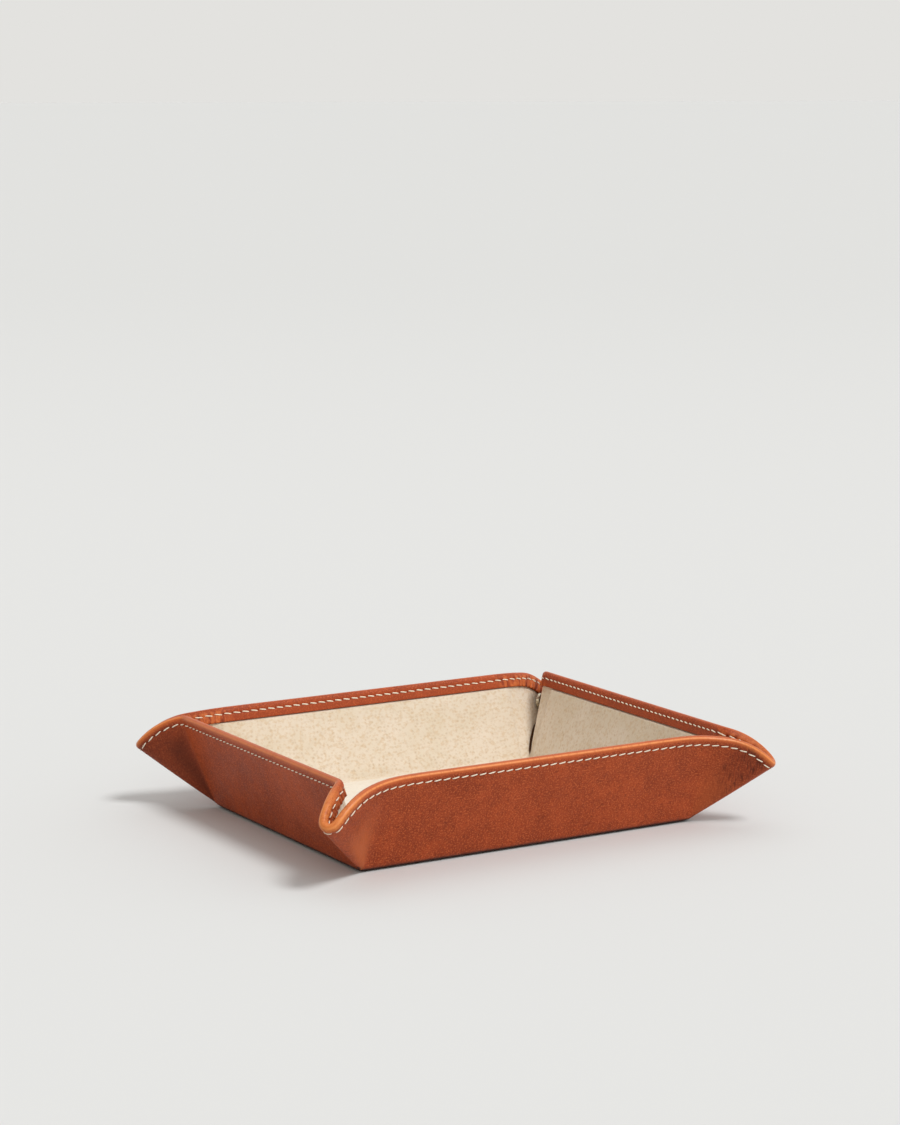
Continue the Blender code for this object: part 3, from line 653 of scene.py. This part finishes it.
def noise(vector, detail, rough, distortion=0.0, scale=1.0):
    return output(vector.tree, "TexNoise", Vector=vector, Scale=scale, Detail=detail, Roughness=rough,
                  Distortion=distortion)


def sheet_noise(tree, scale, shift, detail, rough, distortion=0.0, stretch=(1, 1)):
    return noise(sheet_vector(tree, scale, stretch, shift), detail, rough, distortion)


def uv_places(tree, layer):
    """The two coordinates of a UV layer."""
    split = add(tree, "SeparateXYZ", Vector=output(tree, "UVMap", uv_map=layer))
    return Value(tree, split.outputs[0]), Value(tree, split.outputs[1])


def joined(x, y):
    return output(x.tree, "CombineXYZ", X=x, Y=y)


def new_material(name):
    made = bpy.data.materials.new(name)
    made.use_nodes = True
    return made, made.node_tree


def cover(material, colour, roughness, heights, specular=0.5, **others):
    """Gives a material its colour, roughness and chained bumps, each a height, a distance and a strength."""
    normal = None
    for height, distance, strength in heights:
        normal = output(height.tree, "Bump", Height=height, Distance=distance, Strength=strength, Normal=normal)
    others.update({"Base Color": colour, "Roughness": roughness, "Specular IOR Level": specular, "Normal": normal})
    for key, value in others.items():
        put(value, material.node_tree.nodes["Principled BSDF"].inputs[key])
    return material


def leather_material(name, ear=None, highlight_share=LONG_WALL_HIGHLIGHT):
    """Smooth cowhide with a pulled-up, lighter edge and a painted highlight along the rim's crest, whose strength is
    an argument. ear marks a corner's pieces, which are finely wrinkled.
    """
    made, tree = new_material(name)
    count, inset = uv_places(tree, "rim")
    big = sheet_noise(tree, 0.035, 3.0, 3.0, 0.6, 0.3)
    middle = sheet_noise(tree, 0.16, 9.0, 4.0, 0.62)
    small = sheet_noise(tree, 0.7, 5.0, 3.0, 0.7)
    fine = sheet_noise(tree, 1.5, 13.0, 1.0, 0.6)
    hair = sheet_noise(tree, 0.9, 2.0, 4.0, 0.7, stretch=(1.0, 0.3))
    grain = output(tree, "TexVoronoi", "Distance", feature="DISTANCE_TO_EDGE", Scale=1.0,
                   Vector=sheet_vector(tree, 1.5))

    tone = 0.0
    for part, weight in ((big, 0.34), (middle, 0.2), (hair, 0.2), (small, 0.26)):
        tone = part.math("MULTIPLY_ADD", weight, tone)
    edge = inset.ranged(1.9, 0.2) * inset.ranged(-2.7, -1.2) * middle.ranged(0.25, 0.6, 0.6, 1.0)
    # A painted highlight along the rim's crest, standing in for the lamp's highlight there
    crest_highlight = inset.ranged(0.65, 0.15) * inset.ranged(-0.6, -0.1) * hair.ranged(0.3, 0.55, 0.4 * highlight_share, highlight_share)
    if ear:
        along, out, turn = ear_place(tree, ear)
        # On an ear the painted crest highlight weakens to the side walls' strength towards the left or right wall
        crest_highlight = crest_highlight * turn.ranged(1.15, 1.52, 1.0, SIDE_WALL_HIGHLIGHT / highlight_share)
    hem = inset.ranged(-2.6, -4.4)
    cut_at = -(ROLLED + HEM_WIDTH) * MM
    cut = inset.ranged(cut_at + 0.22, cut_at - 0.18)
    # Painted shadow: a dark band along the fold at the walls' foot, where the tray stands on the ground
    foot = inset.ranged(37.6, 38.9) * inset.ranged(42.2, 40.6)
    seam = abs(inset - STITCH_INSET * MM).math("MINIMUM", abs(inset + (ROLLED + STITCH_INSET) * MM))
    groove = seam.ranged(0.9, 0.2)
    # Stitch holes: dark spots of painted shade, with a small dent
    hole = abs((count + 0.5).math("FRACT") - 0.5).ranged(0.12, 0.05) * seam.ranged(0.35, 0.12)

    colour = paint(BROWN_DARK, (tone.ranged(0.40, 0.60), BROWN_LIGHT),
                   (small.ranged(0.50, 0.66, 0.0, 0.6), SPECKLE_DARK),
                   (fine.ranged(0.48, 0.68, 0.0, 0.6), SPECKLE_LIGHT), (edge, ROLL_COLOUR), (crest_highlight, CREST_HIGHLIGHT_COLOUR),
                   (hem * 0.45, HEM_COLOUR), (cut * 0.8, CUT_COLOUR), (foot * 0.9, FOOT_SHADE_COLOUR),
                   (groove * 0.12, GROOVE_COLOUR), (hole * 0.45, HOLE_SHADE_COLOUR))
    heights = [(grain, 0.00008, 0.30), (small, 0.00012, 0.45), (hair, 0.00014, 0.35), (middle, 0.0004, 0.22),
               (big, 0.0022, 0.3), (hole, -0.0002, 0.5)]
    if ear:
        lines, wrinkled, shade, tip, pulled, tip_side = ear_marks(along, out, turn)
        wrinkling, wear, pull, ear_shade = EAR_LOOKS[ear]
        wrinkled = wrinkled * wrinkling
        rim = inset.ranged(2.4, 1.0) * inset.ranged(-4.6, -3.0)
        worn = rim * (tip * wear) * small.ranged(0.35, 0.6, 0.45, 1.0)
        # The hem's puckers, which fade towards the walls; their ridges get a painted highlight and their dips painted
        # shade
        wall_end = crease_line(WALL_HEIGHT - HEM_WIDTH) * MM
        hem = hem * (along.ranged(wall_end + 1, wall_end + 9) * out.ranged(0.5, 7.0))
        puckers = noise(joined(count * 1.9, inset * 0.16), 2.0, 0.55, 0.4)
        colour = paint(colour, (pulled * pull, PULLED_COLOUR),
                       # painted shade on the outer side of an ear that lies away from the light
                       (inset.ranged(1.2, 2.6) * tip_side * ear_shade, EAR_SHADE_COLOUR),
                       (lines.ranged(0.47, 0.62) * wrinkled, WRINKLE_COLOUR), (wrinkled * 0.38, WRINKLED_COLOUR),
                       (shade * 0.55, SHADE_COLOUR), (worn, WORN_COLOUR),
                       (hem * puckers.ranged(0.42, 0.62) * 0.75, PUCKER_RIDGE_HIGHLIGHT),
                       (hem * puckers.ranged(0.46, 0.34) * 0.55, PUCKER_DIP_SHADE))
        heights += [(puckers * hem, 0.0012, 0.9), (lines * wrinkled, -0.0006, 0.9)]
    rough = edge.math("MULTIPLY_ADD", -0.15, middle.ranged(0.3, 0.7, 0.44, 0.56, smooth=False))
    return cover(made, colour, rough, heights, edge.math("MULTIPLY_ADD", 0.17, 0.17))


def ear_place(tree, corner):
    """Place on an ear, from its base corner: along the long wall, out from it (mm), and the turn (radians)."""
    side_u, side_v = CORNERS[corner]
    u, v = uv_places(tree, "sheet")
    along = u.math("MULTIPLY_ADD", MM * side_u, -MM * HALF_LENGTH)
    out = v.math("MULTIPLY_ADD", MM * side_v, -MM * HALF_WIDTH)
    return along, out, along.math("ARCTAN2", out)


def ear_marks(along, out, turn):
    """An ear's wrinkles, and masks: the wrinkled part, the painted shade by the wall, the tip, the pulled-up foot and
    the part that can take painted shade on its outer side."""
    radius = (along * along + out * out).math("SQRT")
    lines = noise(joined(out.math("MULTIPLY_ADD", 0.15, along * 1.6), out * 0.24), 2.0, 0.6, 0.35)
    patches = sheet_noise(along.tree, 0.1, 20.0, 2.0, 0.5)
    wrinkled = (turn.ranged(0.16, 0.42) * turn.ranged(0.74, 0.62) * radius.ranged(10.0, 26.0)
                * radius.ranged(42.0, 38.0) * patches.ranged(0.36, 0.6, 0.35, 1.0))
    shade = turn.ranged(0.85, 1.2) * turn.ranged(1.54, 1.25) * radius.ranged(38.0, 28.0)
    tip = turn.ranged(0.15, 0.6) * turn.ranged(1.4, 1.1)
    pulled = turn.ranged(-0.25, 0.35) * radius.ranged(34.0, 14.0) * turn.ranged(0.78, 0.6)
    tip_side = turn.ranged(0.0, 0.4) * turn.ranged(1.54, 1.1)
    return lines, wrinkled, shade, tip, pulled, tip_side


def flesh_material(name):
    made, tree = new_material(name)
    fibre = sheet_noise(tree, 1.4, 7.0, 5.0, 0.7)
    colour = paint((112, 76, 52), (fibre.ranged(0.35, 0.65), (146, 106, 76)))
    return cover(made, colour, 0.9, [(fibre, 0.0002, 0.5)])


def suede_material(name):
    """Pigskin suede: cream, with pores in loose rows, warm flecks and a soft nap; the floor's is painted paler, as
    light from above.
    """
    made, tree = new_material(name)
    big = sheet_noise(tree, 0.045, 1.0, 3.0, 0.55)
    middle = sheet_noise(tree, 0.35, 4.0, 4.0, 0.6)
    nap = sheet_noise(tree, 2.6, 6.0, 4.0, 0.7)
    fleck = sheet_noise(tree, 0.75, 11.0, 3.0, 0.62, stretch=(0.8, 1.0))
    pores = output(tree, "TexVoronoi", "Distance", Scale=1.0, Randomness=0.55,
                   Vector=sheet_vector(tree, 0.66, stretch=(0.85, 1.0)))
    pore = pores.ranged(0.50, 0.14) * middle.ranged(0.35, 0.6, 0.45, 1.0)
    inset = uv_places(tree, "rim")[1]
    colour = paint(CREAM_DARK, (big.ranged(0.35, 0.65), CREAM_LIGHT),
                   (middle.ranged(0.5, 0.75, 0.0, 0.3), CREAM_WARM),
                   (fleck.ranged(0.48, 0.66, 0.0, 0.55), FLECK_COLOUR), (pore * 0.26, PORE_COLOUR),
                   # the floor's paler cream is painted light: the floor faces the light from above and shows more
                   # sheen
                   (nap.ranged(0.5, 0.8, 0.0, 0.25), NAP_COLOUR), (inset.ranged(40.0, 42.0, 0.0, 0.6), FLOOR_PAINTED_LIGHT))
    return cover(made, colour, 0.95, [(nap, 0.0001, 0.4), (middle, 0.00025, 0.3), (pore, -0.00016, 0.5)], 0.15,
                 **{"Sheen Weight": 0.3, "Sheen Roughness": 0.5})


def thread_material(name):
    made, tree = new_material(name)
    twist = output(tree, "TexWave", 1, wave_type="BANDS", bands_direction="DIAGONAL", Scale=1.0, Distortion=0.6,
                   Vector=output(tree, "UVMap", uv_map="sheet"))
    return cover(made, paint((240, 224, 196), (twist, (255, 248, 232))), 0.62, [(twist, 0.0001, 0.5)], 0.3)


def metal_material(name):
    made, tree = new_material(name)
    scuffs = noise(output(tree, "TexCoord", "Object"), 4.0, 0.6, scale=900.0)
    colour = paint((176, 164, 138), (scuffs, (214, 206, 186)))
    return cover(made, colour, scuffs.ranged(0.3, 0.7, 0.2, 0.36), [(scuffs, 0.00005, 0.2)], Metallic=1.0)


def board_material(name):
    made, tree = new_material(name)
    pulp = noise(output(tree, "TexCoord", "Object"), 5.0, 0.7, scale=700.0)
    return cover(made, paint((120, 112, 100), (pulp, (168, 160, 146))), 0.9, [(pulp, 0.0001, 0.3)])


leather_skin = leather_material("cognac_leather")
# The side walls' leather is a copy that differs only in a weaker painted highlight on the rim's crest
side_skin = leather_material("cognac_leather_sides", highlight_share=SIDE_WALL_HIGHLIGHT)
leather_flesh = flesh_material("leather_flesh_side")
suede = suede_material("pigskin_suede")
thread = thread_material("cream_thread")
metal = metal_material("snap_metal")
board = board_material("grey_board")
EAR_SKINS = {corner: leather_material(f"cognac_leather_ear_{corner}", corner) for corner in CORNERS}


# Pieces of the leather ("skin") and of the lining ("suede")

LAYERS = (("skin", "leather", leather_profile()), ("suede", "lining", lining_profile()))
STRIP_LAYERS = (("skin", "leather", -LEATHER, 0.0), ("suede", "lining", GLUE_LINE, LINING_LOW))
SHORT_DEGREES = [*np.arange(58, 78, 1.0), *np.linspace(78.3, np.degrees(SHARP_AT), 6)]
END_DEGREES = [*np.linspace(np.degrees(SHARP_AT), 82.4, 6), *np.arange(83.2, 90, 1.2), 90]
FOLD_ANGLES = np.radians([31.5, *np.arange(32, 37, 1), *np.arange(37, 53.01, 0.5), *np.arange(54, 58.1, 1), 58.5])
# Bands of the fold's leather: their radii, and a reach for each, shorter near the apex
RIM_BAND = 0.020
FOLD_BANDS = ((CONE_START, 0.009, 0.0006), (0.009, RIM_BAND, 0.0013), (RIM_BAND, None, FOLD_REACH))
BAND_STEPS = 6
NEXT_TO_BAND = 0.0205      # the rim band's second row is no nearer to the apex than this
FLOOR_LIP = 0.0004         # the floor's outermost rows of faces are this wide
NO_RIM = (0.0, 60.0)       # rim coordinates of the floor, clear of the rim's marks


def solid(name, rings, kinds, layer, skin):
    """One piece of a layer from rings of columns; leather has the skin given."""
    build = Build(lined=layer == "suede")
    for columns in rings:
        build.ring(columns, kinds)
    return build.done(name, [skin, leather_flesh] if layer == "skin" else [suede, suede])


def stands_for(node, layer):
    if node:
        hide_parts(node)
    "cognac_leather" if layer == "skin" else "suede_lining"


def kinds_of(stations):
    return [kind for *_, kind in stations]


def wall_columns(name, stations):
    """Columns of a wall, upright in the middle and leaning with the creases at its ends."""
    if is_long(name):
        low, high = HALF_LENGTH + crease_line(FOOT), HALF_LENGTH + crease_line(WALL_HEIGHT)
        places = np.concatenate([np.linspace(0, 0.72, 9), np.linspace(0.72, 1, 11)[1:], [1.03]])
    else:
        low = high = HALF_WIDTH
        places = np.concatenate([np.linspace(0, 0.9, 11), np.linspace(0.9, 1, 6)[1:], [1.02]])
    places = np.concatenate([-places[:0:-1], places])
    return [wall_column(name, low * x, high * x, stations) for x in places]


def make_wall(name):
    skin = leather_skin if is_long(name) else side_skin
    for layer, node, stations in LAYERS:
        piece = solid(f"{name}_wall_{layer}", [wall_columns(name, stations)], kinds_of(stations), layer, skin)
        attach(piece, f"{name}_wall")
        stands_for(f"{name}_wall_{node}", layer)


def crease_columns(corner, stations):
    """The wall's end beside a crease, then the ear up to its fold, as two runs of columns."""
    name = wall_of(corner)
    side = CORNERS[corner][0]
    foot, top = crease_line(FOOT), crease_line(WALL_HEIGHT)
    wall = [wall_column(name, side * (HALF_LENGTH + foot * x), side * (HALF_LENGTH + top * x), stations)
            for x in (1.08, *np.linspace(1, 0, 12), -0.04)]
    angles = np.concatenate([[-0.01], np.radians(np.arange(0, 32.01, 0.8)), [FOLD_FROM + 0.01]])
    return wall, [corner_column(corner, s, stations) for s in angles]


def band_profile(low, high, stations):
    """Both faces of the leather between two radii, or from a radius on round the rim."""
    if high:
        places = [("radius", low + (high - low) * i / BAND_STEPS) for i in range(BAND_STEPS + 1)]
        rim = []
    else:
        places = [("radius", low)] + [("beyond", x) for x in SHARES[6:]]
        rim = [station for station in stations if station[0] != "share"]
    outer = [(kind, x, -LEATHER, None, FACE) for kind, x in places]
    return outer + rim + [(kind, x, 0.0, HIDDEN, FLESH) for kind, x in places[::-1]]


def fold_column(corner, s, profile):
    """A column of a band of the fold: "beyond" is a share of the way to the rim, as on its neighbours."""
    resolved = []
    for kind, value, *others in profile:
        if kind == "beyond":
            kind, value = "radius", CONE_START + value * (outline_radius(s, RIM) - CONE_START)
            value = max(value, NEXT_TO_BAND)
        resolved.append((kind, value, *others))
    return corner_column(corner, s, resolved)


def make_fold(corner, layer, stations, skin):
    """The ear's U-turn. Its leather is in three bands, each with a reach of its own."""
    if layer == "suede":
        columns = [corner_column(corner, s, stations) for s in FOLD_ANGLES]
        piece = solid(f"ear_{corner}_fold_suede", [columns], kinds_of(stations), layer, skin)
        blend_fold(piece, corner, LINING_FOLD_REACH)
        stands_for(f"ear_{corner}_fold_lining", layer)
        return
    for band, (low, high, reach) in enumerate(FOLD_BANDS):
        profile = band_profile(low, high, stations)
        columns = [fold_column(corner, s, profile) for s in FOLD_ANGLES]
        piece = solid(f"ear_{corner}_fold_skin_{band + 1}", [columns], kinds_of(profile), layer, skin)
        blend_fold(piece, corner, reach)
        stands_for(None if high else f"ear_{corner}_fold_leather", layer)


def make_ear(corner):
    skin = EAR_SKINS[corner]
    for layer, node, stations in LAYERS:
        kinds = kinds_of(stations)
        piece = solid(f"ear_{corner}_crease_{layer}", crease_columns(corner, stations), kinds, layer, skin)
        blend_crease(piece, corner)
        stands_for(f"ear_{corner}_long_half_{node}", layer)
        make_fold(corner, layer, stations, skin)
        for part, degrees, body, cad in (("short", SHORT_DEGREES, f"ear_{corner}_short", "short_half"),
                                         ("end", END_DEGREES, f"{side_of(corner)}_wall", "wall_bend")):
            angles = np.radians([degrees[0] - (degrees[1] - degrees[0]), *degrees, degrees[-1] + 0.6])
            columns = [corner_column(corner, s, stations) for s in angles]
            piece = solid(f"ear_{corner}_{part}_{layer}", [columns], kinds, layer, skin)
            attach(piece, body)
            stands_for(f"ear_{corner}_{cad}_{node}", layer)


def make_strip(name):
    """The fold between the floor and a wall."""
    places = np.linspace(-FOOT, FOOT, 15)
    shares = np.concatenate([[-0.004], np.linspace(0, 0.06, 8), np.linspace(0.06, 0.94, 24)[1:-1],
                             np.linspace(0.94, 1, 8), [1.004]])
    ends = [rest_shape([sheet_place(name, 0, b, 0)])[0][0] for b in (-FOOT, FOOT)]
    for layer, _, low, high in STRIP_LAYERS:
        stations = [(b, low) for b in places] + [(b, high) for b in places[::-1]]
        columns = [strip_column(name, x, stations) for x in shares]
        kinds = [FACE] * len(places[1:]) + [FLESH] * (len(places) + 1)
        piece = solid(f"{name}_fold_{layer}", [columns], kinds, layer, leather_skin)
        shrink = (ends[1] - ends[0]) * (0.0 if layer == "skin" else STRIP_LINING_SHARE)
        tuple(ends[0] + shrink)
        tuple(ends[1] - shrink)
        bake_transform(piece)
        stands_for(None, layer)


def make_floor():
    half_u, half_v = HALF_LENGTH - FOOT, HALF_WIDTH - FOOT
    vs = np.concatenate([[-half_v], np.linspace(-half_v + FLOOR_LIP, half_v - FLOOR_LIP, 27), [half_v]])
    us = np.concatenate([[-half_u - FLOOR_LIP, -half_u],
                         np.linspace(-half_u + FLOOR_LIP, half_u - FLOOR_LIP, 33), [half_u, half_u + FLOOR_LIP]])
    for layer, node, low, high in STRIP_LAYERS:
        columns = []
        for u in us:
            ring = np.array([(u, v, low) for v in vs] + [(u, v, high) for v in vs[::-1]])
            columns.append((ring, ring[:, :2], np.tile(NO_RIM, (len(ring), 1))))
        kinds = [FACE] * len(vs) + [FLESH if layer == "skin" else FACE] * len(vs)
        piece = solid(f"floor_{layer}", [columns], kinds, layer, leather_skin)
        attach(piece, "tray_floor")
        stands_for(f"floor_{node}", layer)


# Stitches: short threads that dip into their holes

THREAD_SIDES, THREAD_STEPS = 7, 9
THREAD_RADIUS = 0.00026
THREAD_FLATNESS = 0.8      # the thread's height as a share of its width
STITCH_SINK = 0.00009      # how deep the seam's groove lies
STITCH_RISE, HOLE_DEPTH = 0.00034, 0.00030
STITCH_SLANT = 0.085
GAP, SHORT_GAP = 0.09, 0.15   # a stitch starts and ends at this share of its pitch


def stitch_mesh(name, runs, face):
    """Stitches of one face. Each run gives two flat places along the stitch line, and its bow between them."""
    t = np.linspace(-1, 1, THREAD_STEPS)
    sign, base_w = (-1, -LEATHER) if face == "outside" else (1, HEM_TOP)
    lift = np.where(np.abs(t) < 1, (1 - np.abs(t) ** 5) * STITCH_RISE, 0) - HOLE_DEPTH
    w = base_w - sign * STITCH_SINK + sign * (THREAD_RADIUS * 0.4 + lift)
    radius = THREAD_RADIUS * np.clip(1.1 - np.abs(t) ** 2.5 * 0.65, 0, 1)
    flat = []
    for first, last, bow in runs:
        line = first + (last - first) * (t[:, None] * 0.5 + 0.5) + bow * (1 - t[:, None] ** 2)
        slant = np.array([(last - first)[1], -(last - first)[0]]) * STITCH_SLANT
        flat.append(np.concatenate([line + slant * t[:, None], w[:, None]], 1))
    n = len(flat)
    place, normal = (x.reshape(n, THREAD_STEPS, 3) for x in rest_shape(np.array(flat).reshape(-1, 3)))
    tangent = unit(np.gradient(place, axis=1))
    across = unit(np.cross(tangent, normal))
    up = np.cross(across, tangent)
    turns = 2 * np.pi * np.arange(THREAD_SIDES)[None, None, :, None] / THREAD_SIDES
    rings = place[:, :, None] + radius[None, :, None, None] * (
        across[:, :, None] * np.cos(turns) + up[:, :, None] * np.sin(turns) * THREAD_FLATNESS)
    faces = []
    for i in range(n):
        faces += ring_faces(i * THREAD_STEPS * THREAD_SIDES, THREAD_STEPS, THREAD_SIDES)
    mesh = bpy.data.meshes.new(name)
    mesh.from_pydata(rings.reshape(-1, 3).tolist(), [], faces)
    if signed_volume(mesh) < 0:
        mesh.flip_normals()
    along, round_ = np.meshgrid(np.arange(THREAD_STEPS) * 0.9, np.arange(THREAD_SIDES) * 0.9, indexing="ij")
    lay_uv(mesh, "sheet", np.tile(np.stack([along, round_], -1).reshape(-1, 2), (n, 1)))
    made = new_object(name, mesh, [thread])
    soften(mesh, {}, 60)
    return made


def wall_runs(name):
    half, gap, count = half_of(name), GAP if is_long(name) else SHORT_GAP, STITCH_COUNTS[name]
    runs = []
    for k in range(count):
        ends = [(k + x) / count * 2 * half - half for x in (gap, 1 - gap)]
        runs.append([np.array(sheet_place(name, x, WALL_HEIGHT - STITCH_INSET, 0)[:2]) for x in ends] + [np.zeros(2)])
    return runs


def corner_runs(corner):
    """Runs of a corner's stitches with the angle of each one's middle."""
    side = np.array(CORNERS[corner])
    runs = []
    for k in range(CORNER_STITCHES):
        s = np.interp([(k + x) / CORNER_STITCHES * CORNER_LENGTH for x in (GAP, 0.5, 1 - GAP)], TURN_LENGTH, TURN)
        r = outline_radius(s, STITCH_INSET)
        places = np.stack([HALF_LENGTH + r * np.sin(s), HALF_WIDTH + r * np.cos(s)], -1) * side
        runs.append((s[1], [places[0], places[2], places[1] - (places[0] + places[2]) / 2]))
    return runs


def make_stitches(face):
    crease_runs = {corner: [] for corner in CORNERS}
    crease_at = HALF_LENGTH + crease_line(WALL_HEIGHT - STITCH_INSET)
    for name in WALLS:
        stay = []
        for run in wall_runs(name):
            middle = (run[0] + run[1]) / 2
            if is_long(name) and abs(middle[0]) > crease_at:
                corner = ("right" if middle[0] > 0 else "left") + ("_near" if name == "front" else "_far")
                crease_runs[corner].append(run)
            else:
                stay.append(run)
        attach(stitch_mesh(f"{name}_stitches_{face}", stay, face), f"{name}_wall")
    for corner in CORNERS:
        fold_runs, short_runs, end_runs = [], [], []
        for s, run in corner_runs(corner):
            runs = (crease_runs[corner] if s < FOLD_FROM else fold_runs if s < FOLD_TO
                    else short_runs if s < SHARP_AT else end_runs)
            runs.append(run)
        blend_crease(stitch_mesh(f"ear_{corner}_crease_stitches_{face}", crease_runs[corner], face), corner)
        blend_fold(stitch_mesh(f"ear_{corner}_fold_stitches_{face}", fold_runs, face), corner, FOLD_REACH)
        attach(stitch_mesh(f"ear_{corner}_short_stitches_{face}", short_runs, face), f"ear_{corner}_short")
        if end_runs:
            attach(stitch_mesh(f"ear_{corner}_end_stitches_{face}", end_runs, face), f"{side_of(corner)}_wall")


make_floor()
for wall in WALLS:
    make_wall(wall)
    make_strip(wall)
for ear in CORNERS:
    make_ear(ear)
for side in ("outside", "inside"):
    make_stitches(side)

# The boards and the snaps keep their solids

for name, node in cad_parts.items():
    if name.endswith("_board") or name.startswith("snap_"):
        material, slot = (board, "stiffener_board") if name.endswith("_board") else (metal, "snap_metal")
        node.data.materials.clear()
        node.data.materials.append(material)


# Floor, light and camera. Colours here are linear

BACKGROUND = linear(227, 226, 223)
GROUND_NEAR, GROUND_FAR = (0.640, 0.654, 0.656), (0.612, 0.626, 0.626)
GROUND_HALF = 60
BRIGHT_SIDE = (0.80, 0.10, 0.35)
SKY_STRENGTH, SKY_CHANGE = 0.55, 0.29
SKY_WARM, SKY_COOL = (1.0, 0.875, 0.765), (1.0, 0.99, 0.975)
CAMERA_PLACE = (-0.590297, -0.977232, 0.288192)
CAMERA_TURN, CAMERA_RISE = np.radians(-31.1025), np.radians(9.2293)
SENSOR, LENS = 36.0, 93.12


def make_stage():
    mesh = bpy.data.meshes.new("ground")
    corners = [(GROUND_HALF * x, GROUND_HALF * y, 0) for x, y in ((-1, -1), (1, -1), (1, 1), (-1, 1))]
    mesh.from_pydata(corners, [], [(0, 1, 2, 3)])
    made, tree = new_material("ground_paper")
    away = output(tree, "VectorMath", "Value", operation="LENGTH", Vector=output(tree, "TexCoord", "Object"))
    cover(made, blend_colour(away.ranged(0.4, 3.5), GROUND_NEAR, GROUND_FAR), 0.95, [], 0.0)
    new_object("ground", mesh, [made])


def make_world():
    world = bpy.data.worlds.new("studio")
    bpy.context.scene.world = world
    world.use_nodes = True
    tree = world.node_tree
    tree.nodes.clear()
    toward = add(tree, "VectorMath", operation="DOT_PRODUCT", Vector=output(tree, "TexCoord", "Generated"))
    toward.inputs[1].default_value = BRIGHT_SIDE
    facing = Value(tree, toward.outputs["Value"])
    lit = add(tree, "Background", Color=blend_colour(facing.ranged(-0.6, 0.6, smooth=False), SKY_WARM, SKY_COOL),
              Strength=facing.math("MULTIPLY_ADD", SKY_CHANGE, SKY_STRENGTH))
    seen = add(tree, "Background", Color=BACKGROUND)
    path = add(tree, "LightPath")
    camera, glossy, transmission = (Value(tree, path.outputs[f"Is {kind} Ray"])
                                    for kind in ("Camera", "Glossy", "Transmission"))
    mix = add(tree, "MixShader")
    for socket, value in enumerate((camera.math("MAXIMUM", glossy.math("MAXIMUM", transmission)),
                                    Value(tree, lit.outputs[0]), Value(tree, seen.outputs[0]))):
        put(value, mix.inputs[socket])
    add(tree, "OutputWorld", Surface=Value(tree, mix.outputs[0]))


def make_sun(name, direction, strength, angle, colour):
    light = bpy.data.lights.new(name, "SUN")
    light.energy, light.angle, light.color = strength, np.radians(angle), colour
    made = new_object(name, light)
    made.rotation_euler = Vector(direction).to_track_quat("Z", "Y").to_euler()


def make_camera():
    data = bpy.data.cameras.new("camera")
    data.sensor_width, data.lens = SENSOR, LENS
    data.clip_start, data.clip_end = 0.05, 300
    made = new_object("camera", data)
    level = np.cos(CAMERA_RISE)
    back = Vector((np.sin(CAMERA_TURN) * level, -np.cos(CAMERA_TURN) * level, np.sin(CAMERA_RISE)))
    made.matrix_world = Matrix.Translation(CAMERA_PLACE) @ back.to_track_quat("Z", "Y").to_matrix().to_4x4()
    bpy.context.scene.camera = made


make_stage()
make_world()
make_sun("key", (0.20, -0.50, 0.84), 1.8, 18, (1.0, 0.995, 0.985))
make_sun("front", (-0.45, -0.9, 0.45), 0.3, 40, (1.0, 0.99, 0.97))
make_sun("overhead", (0.1, 0.35, 1.0), 0.35, 60, (1.0, 1.0, 1.0))
make_camera()
bpy.context.scene.view_settings.view_transform = "Standard"
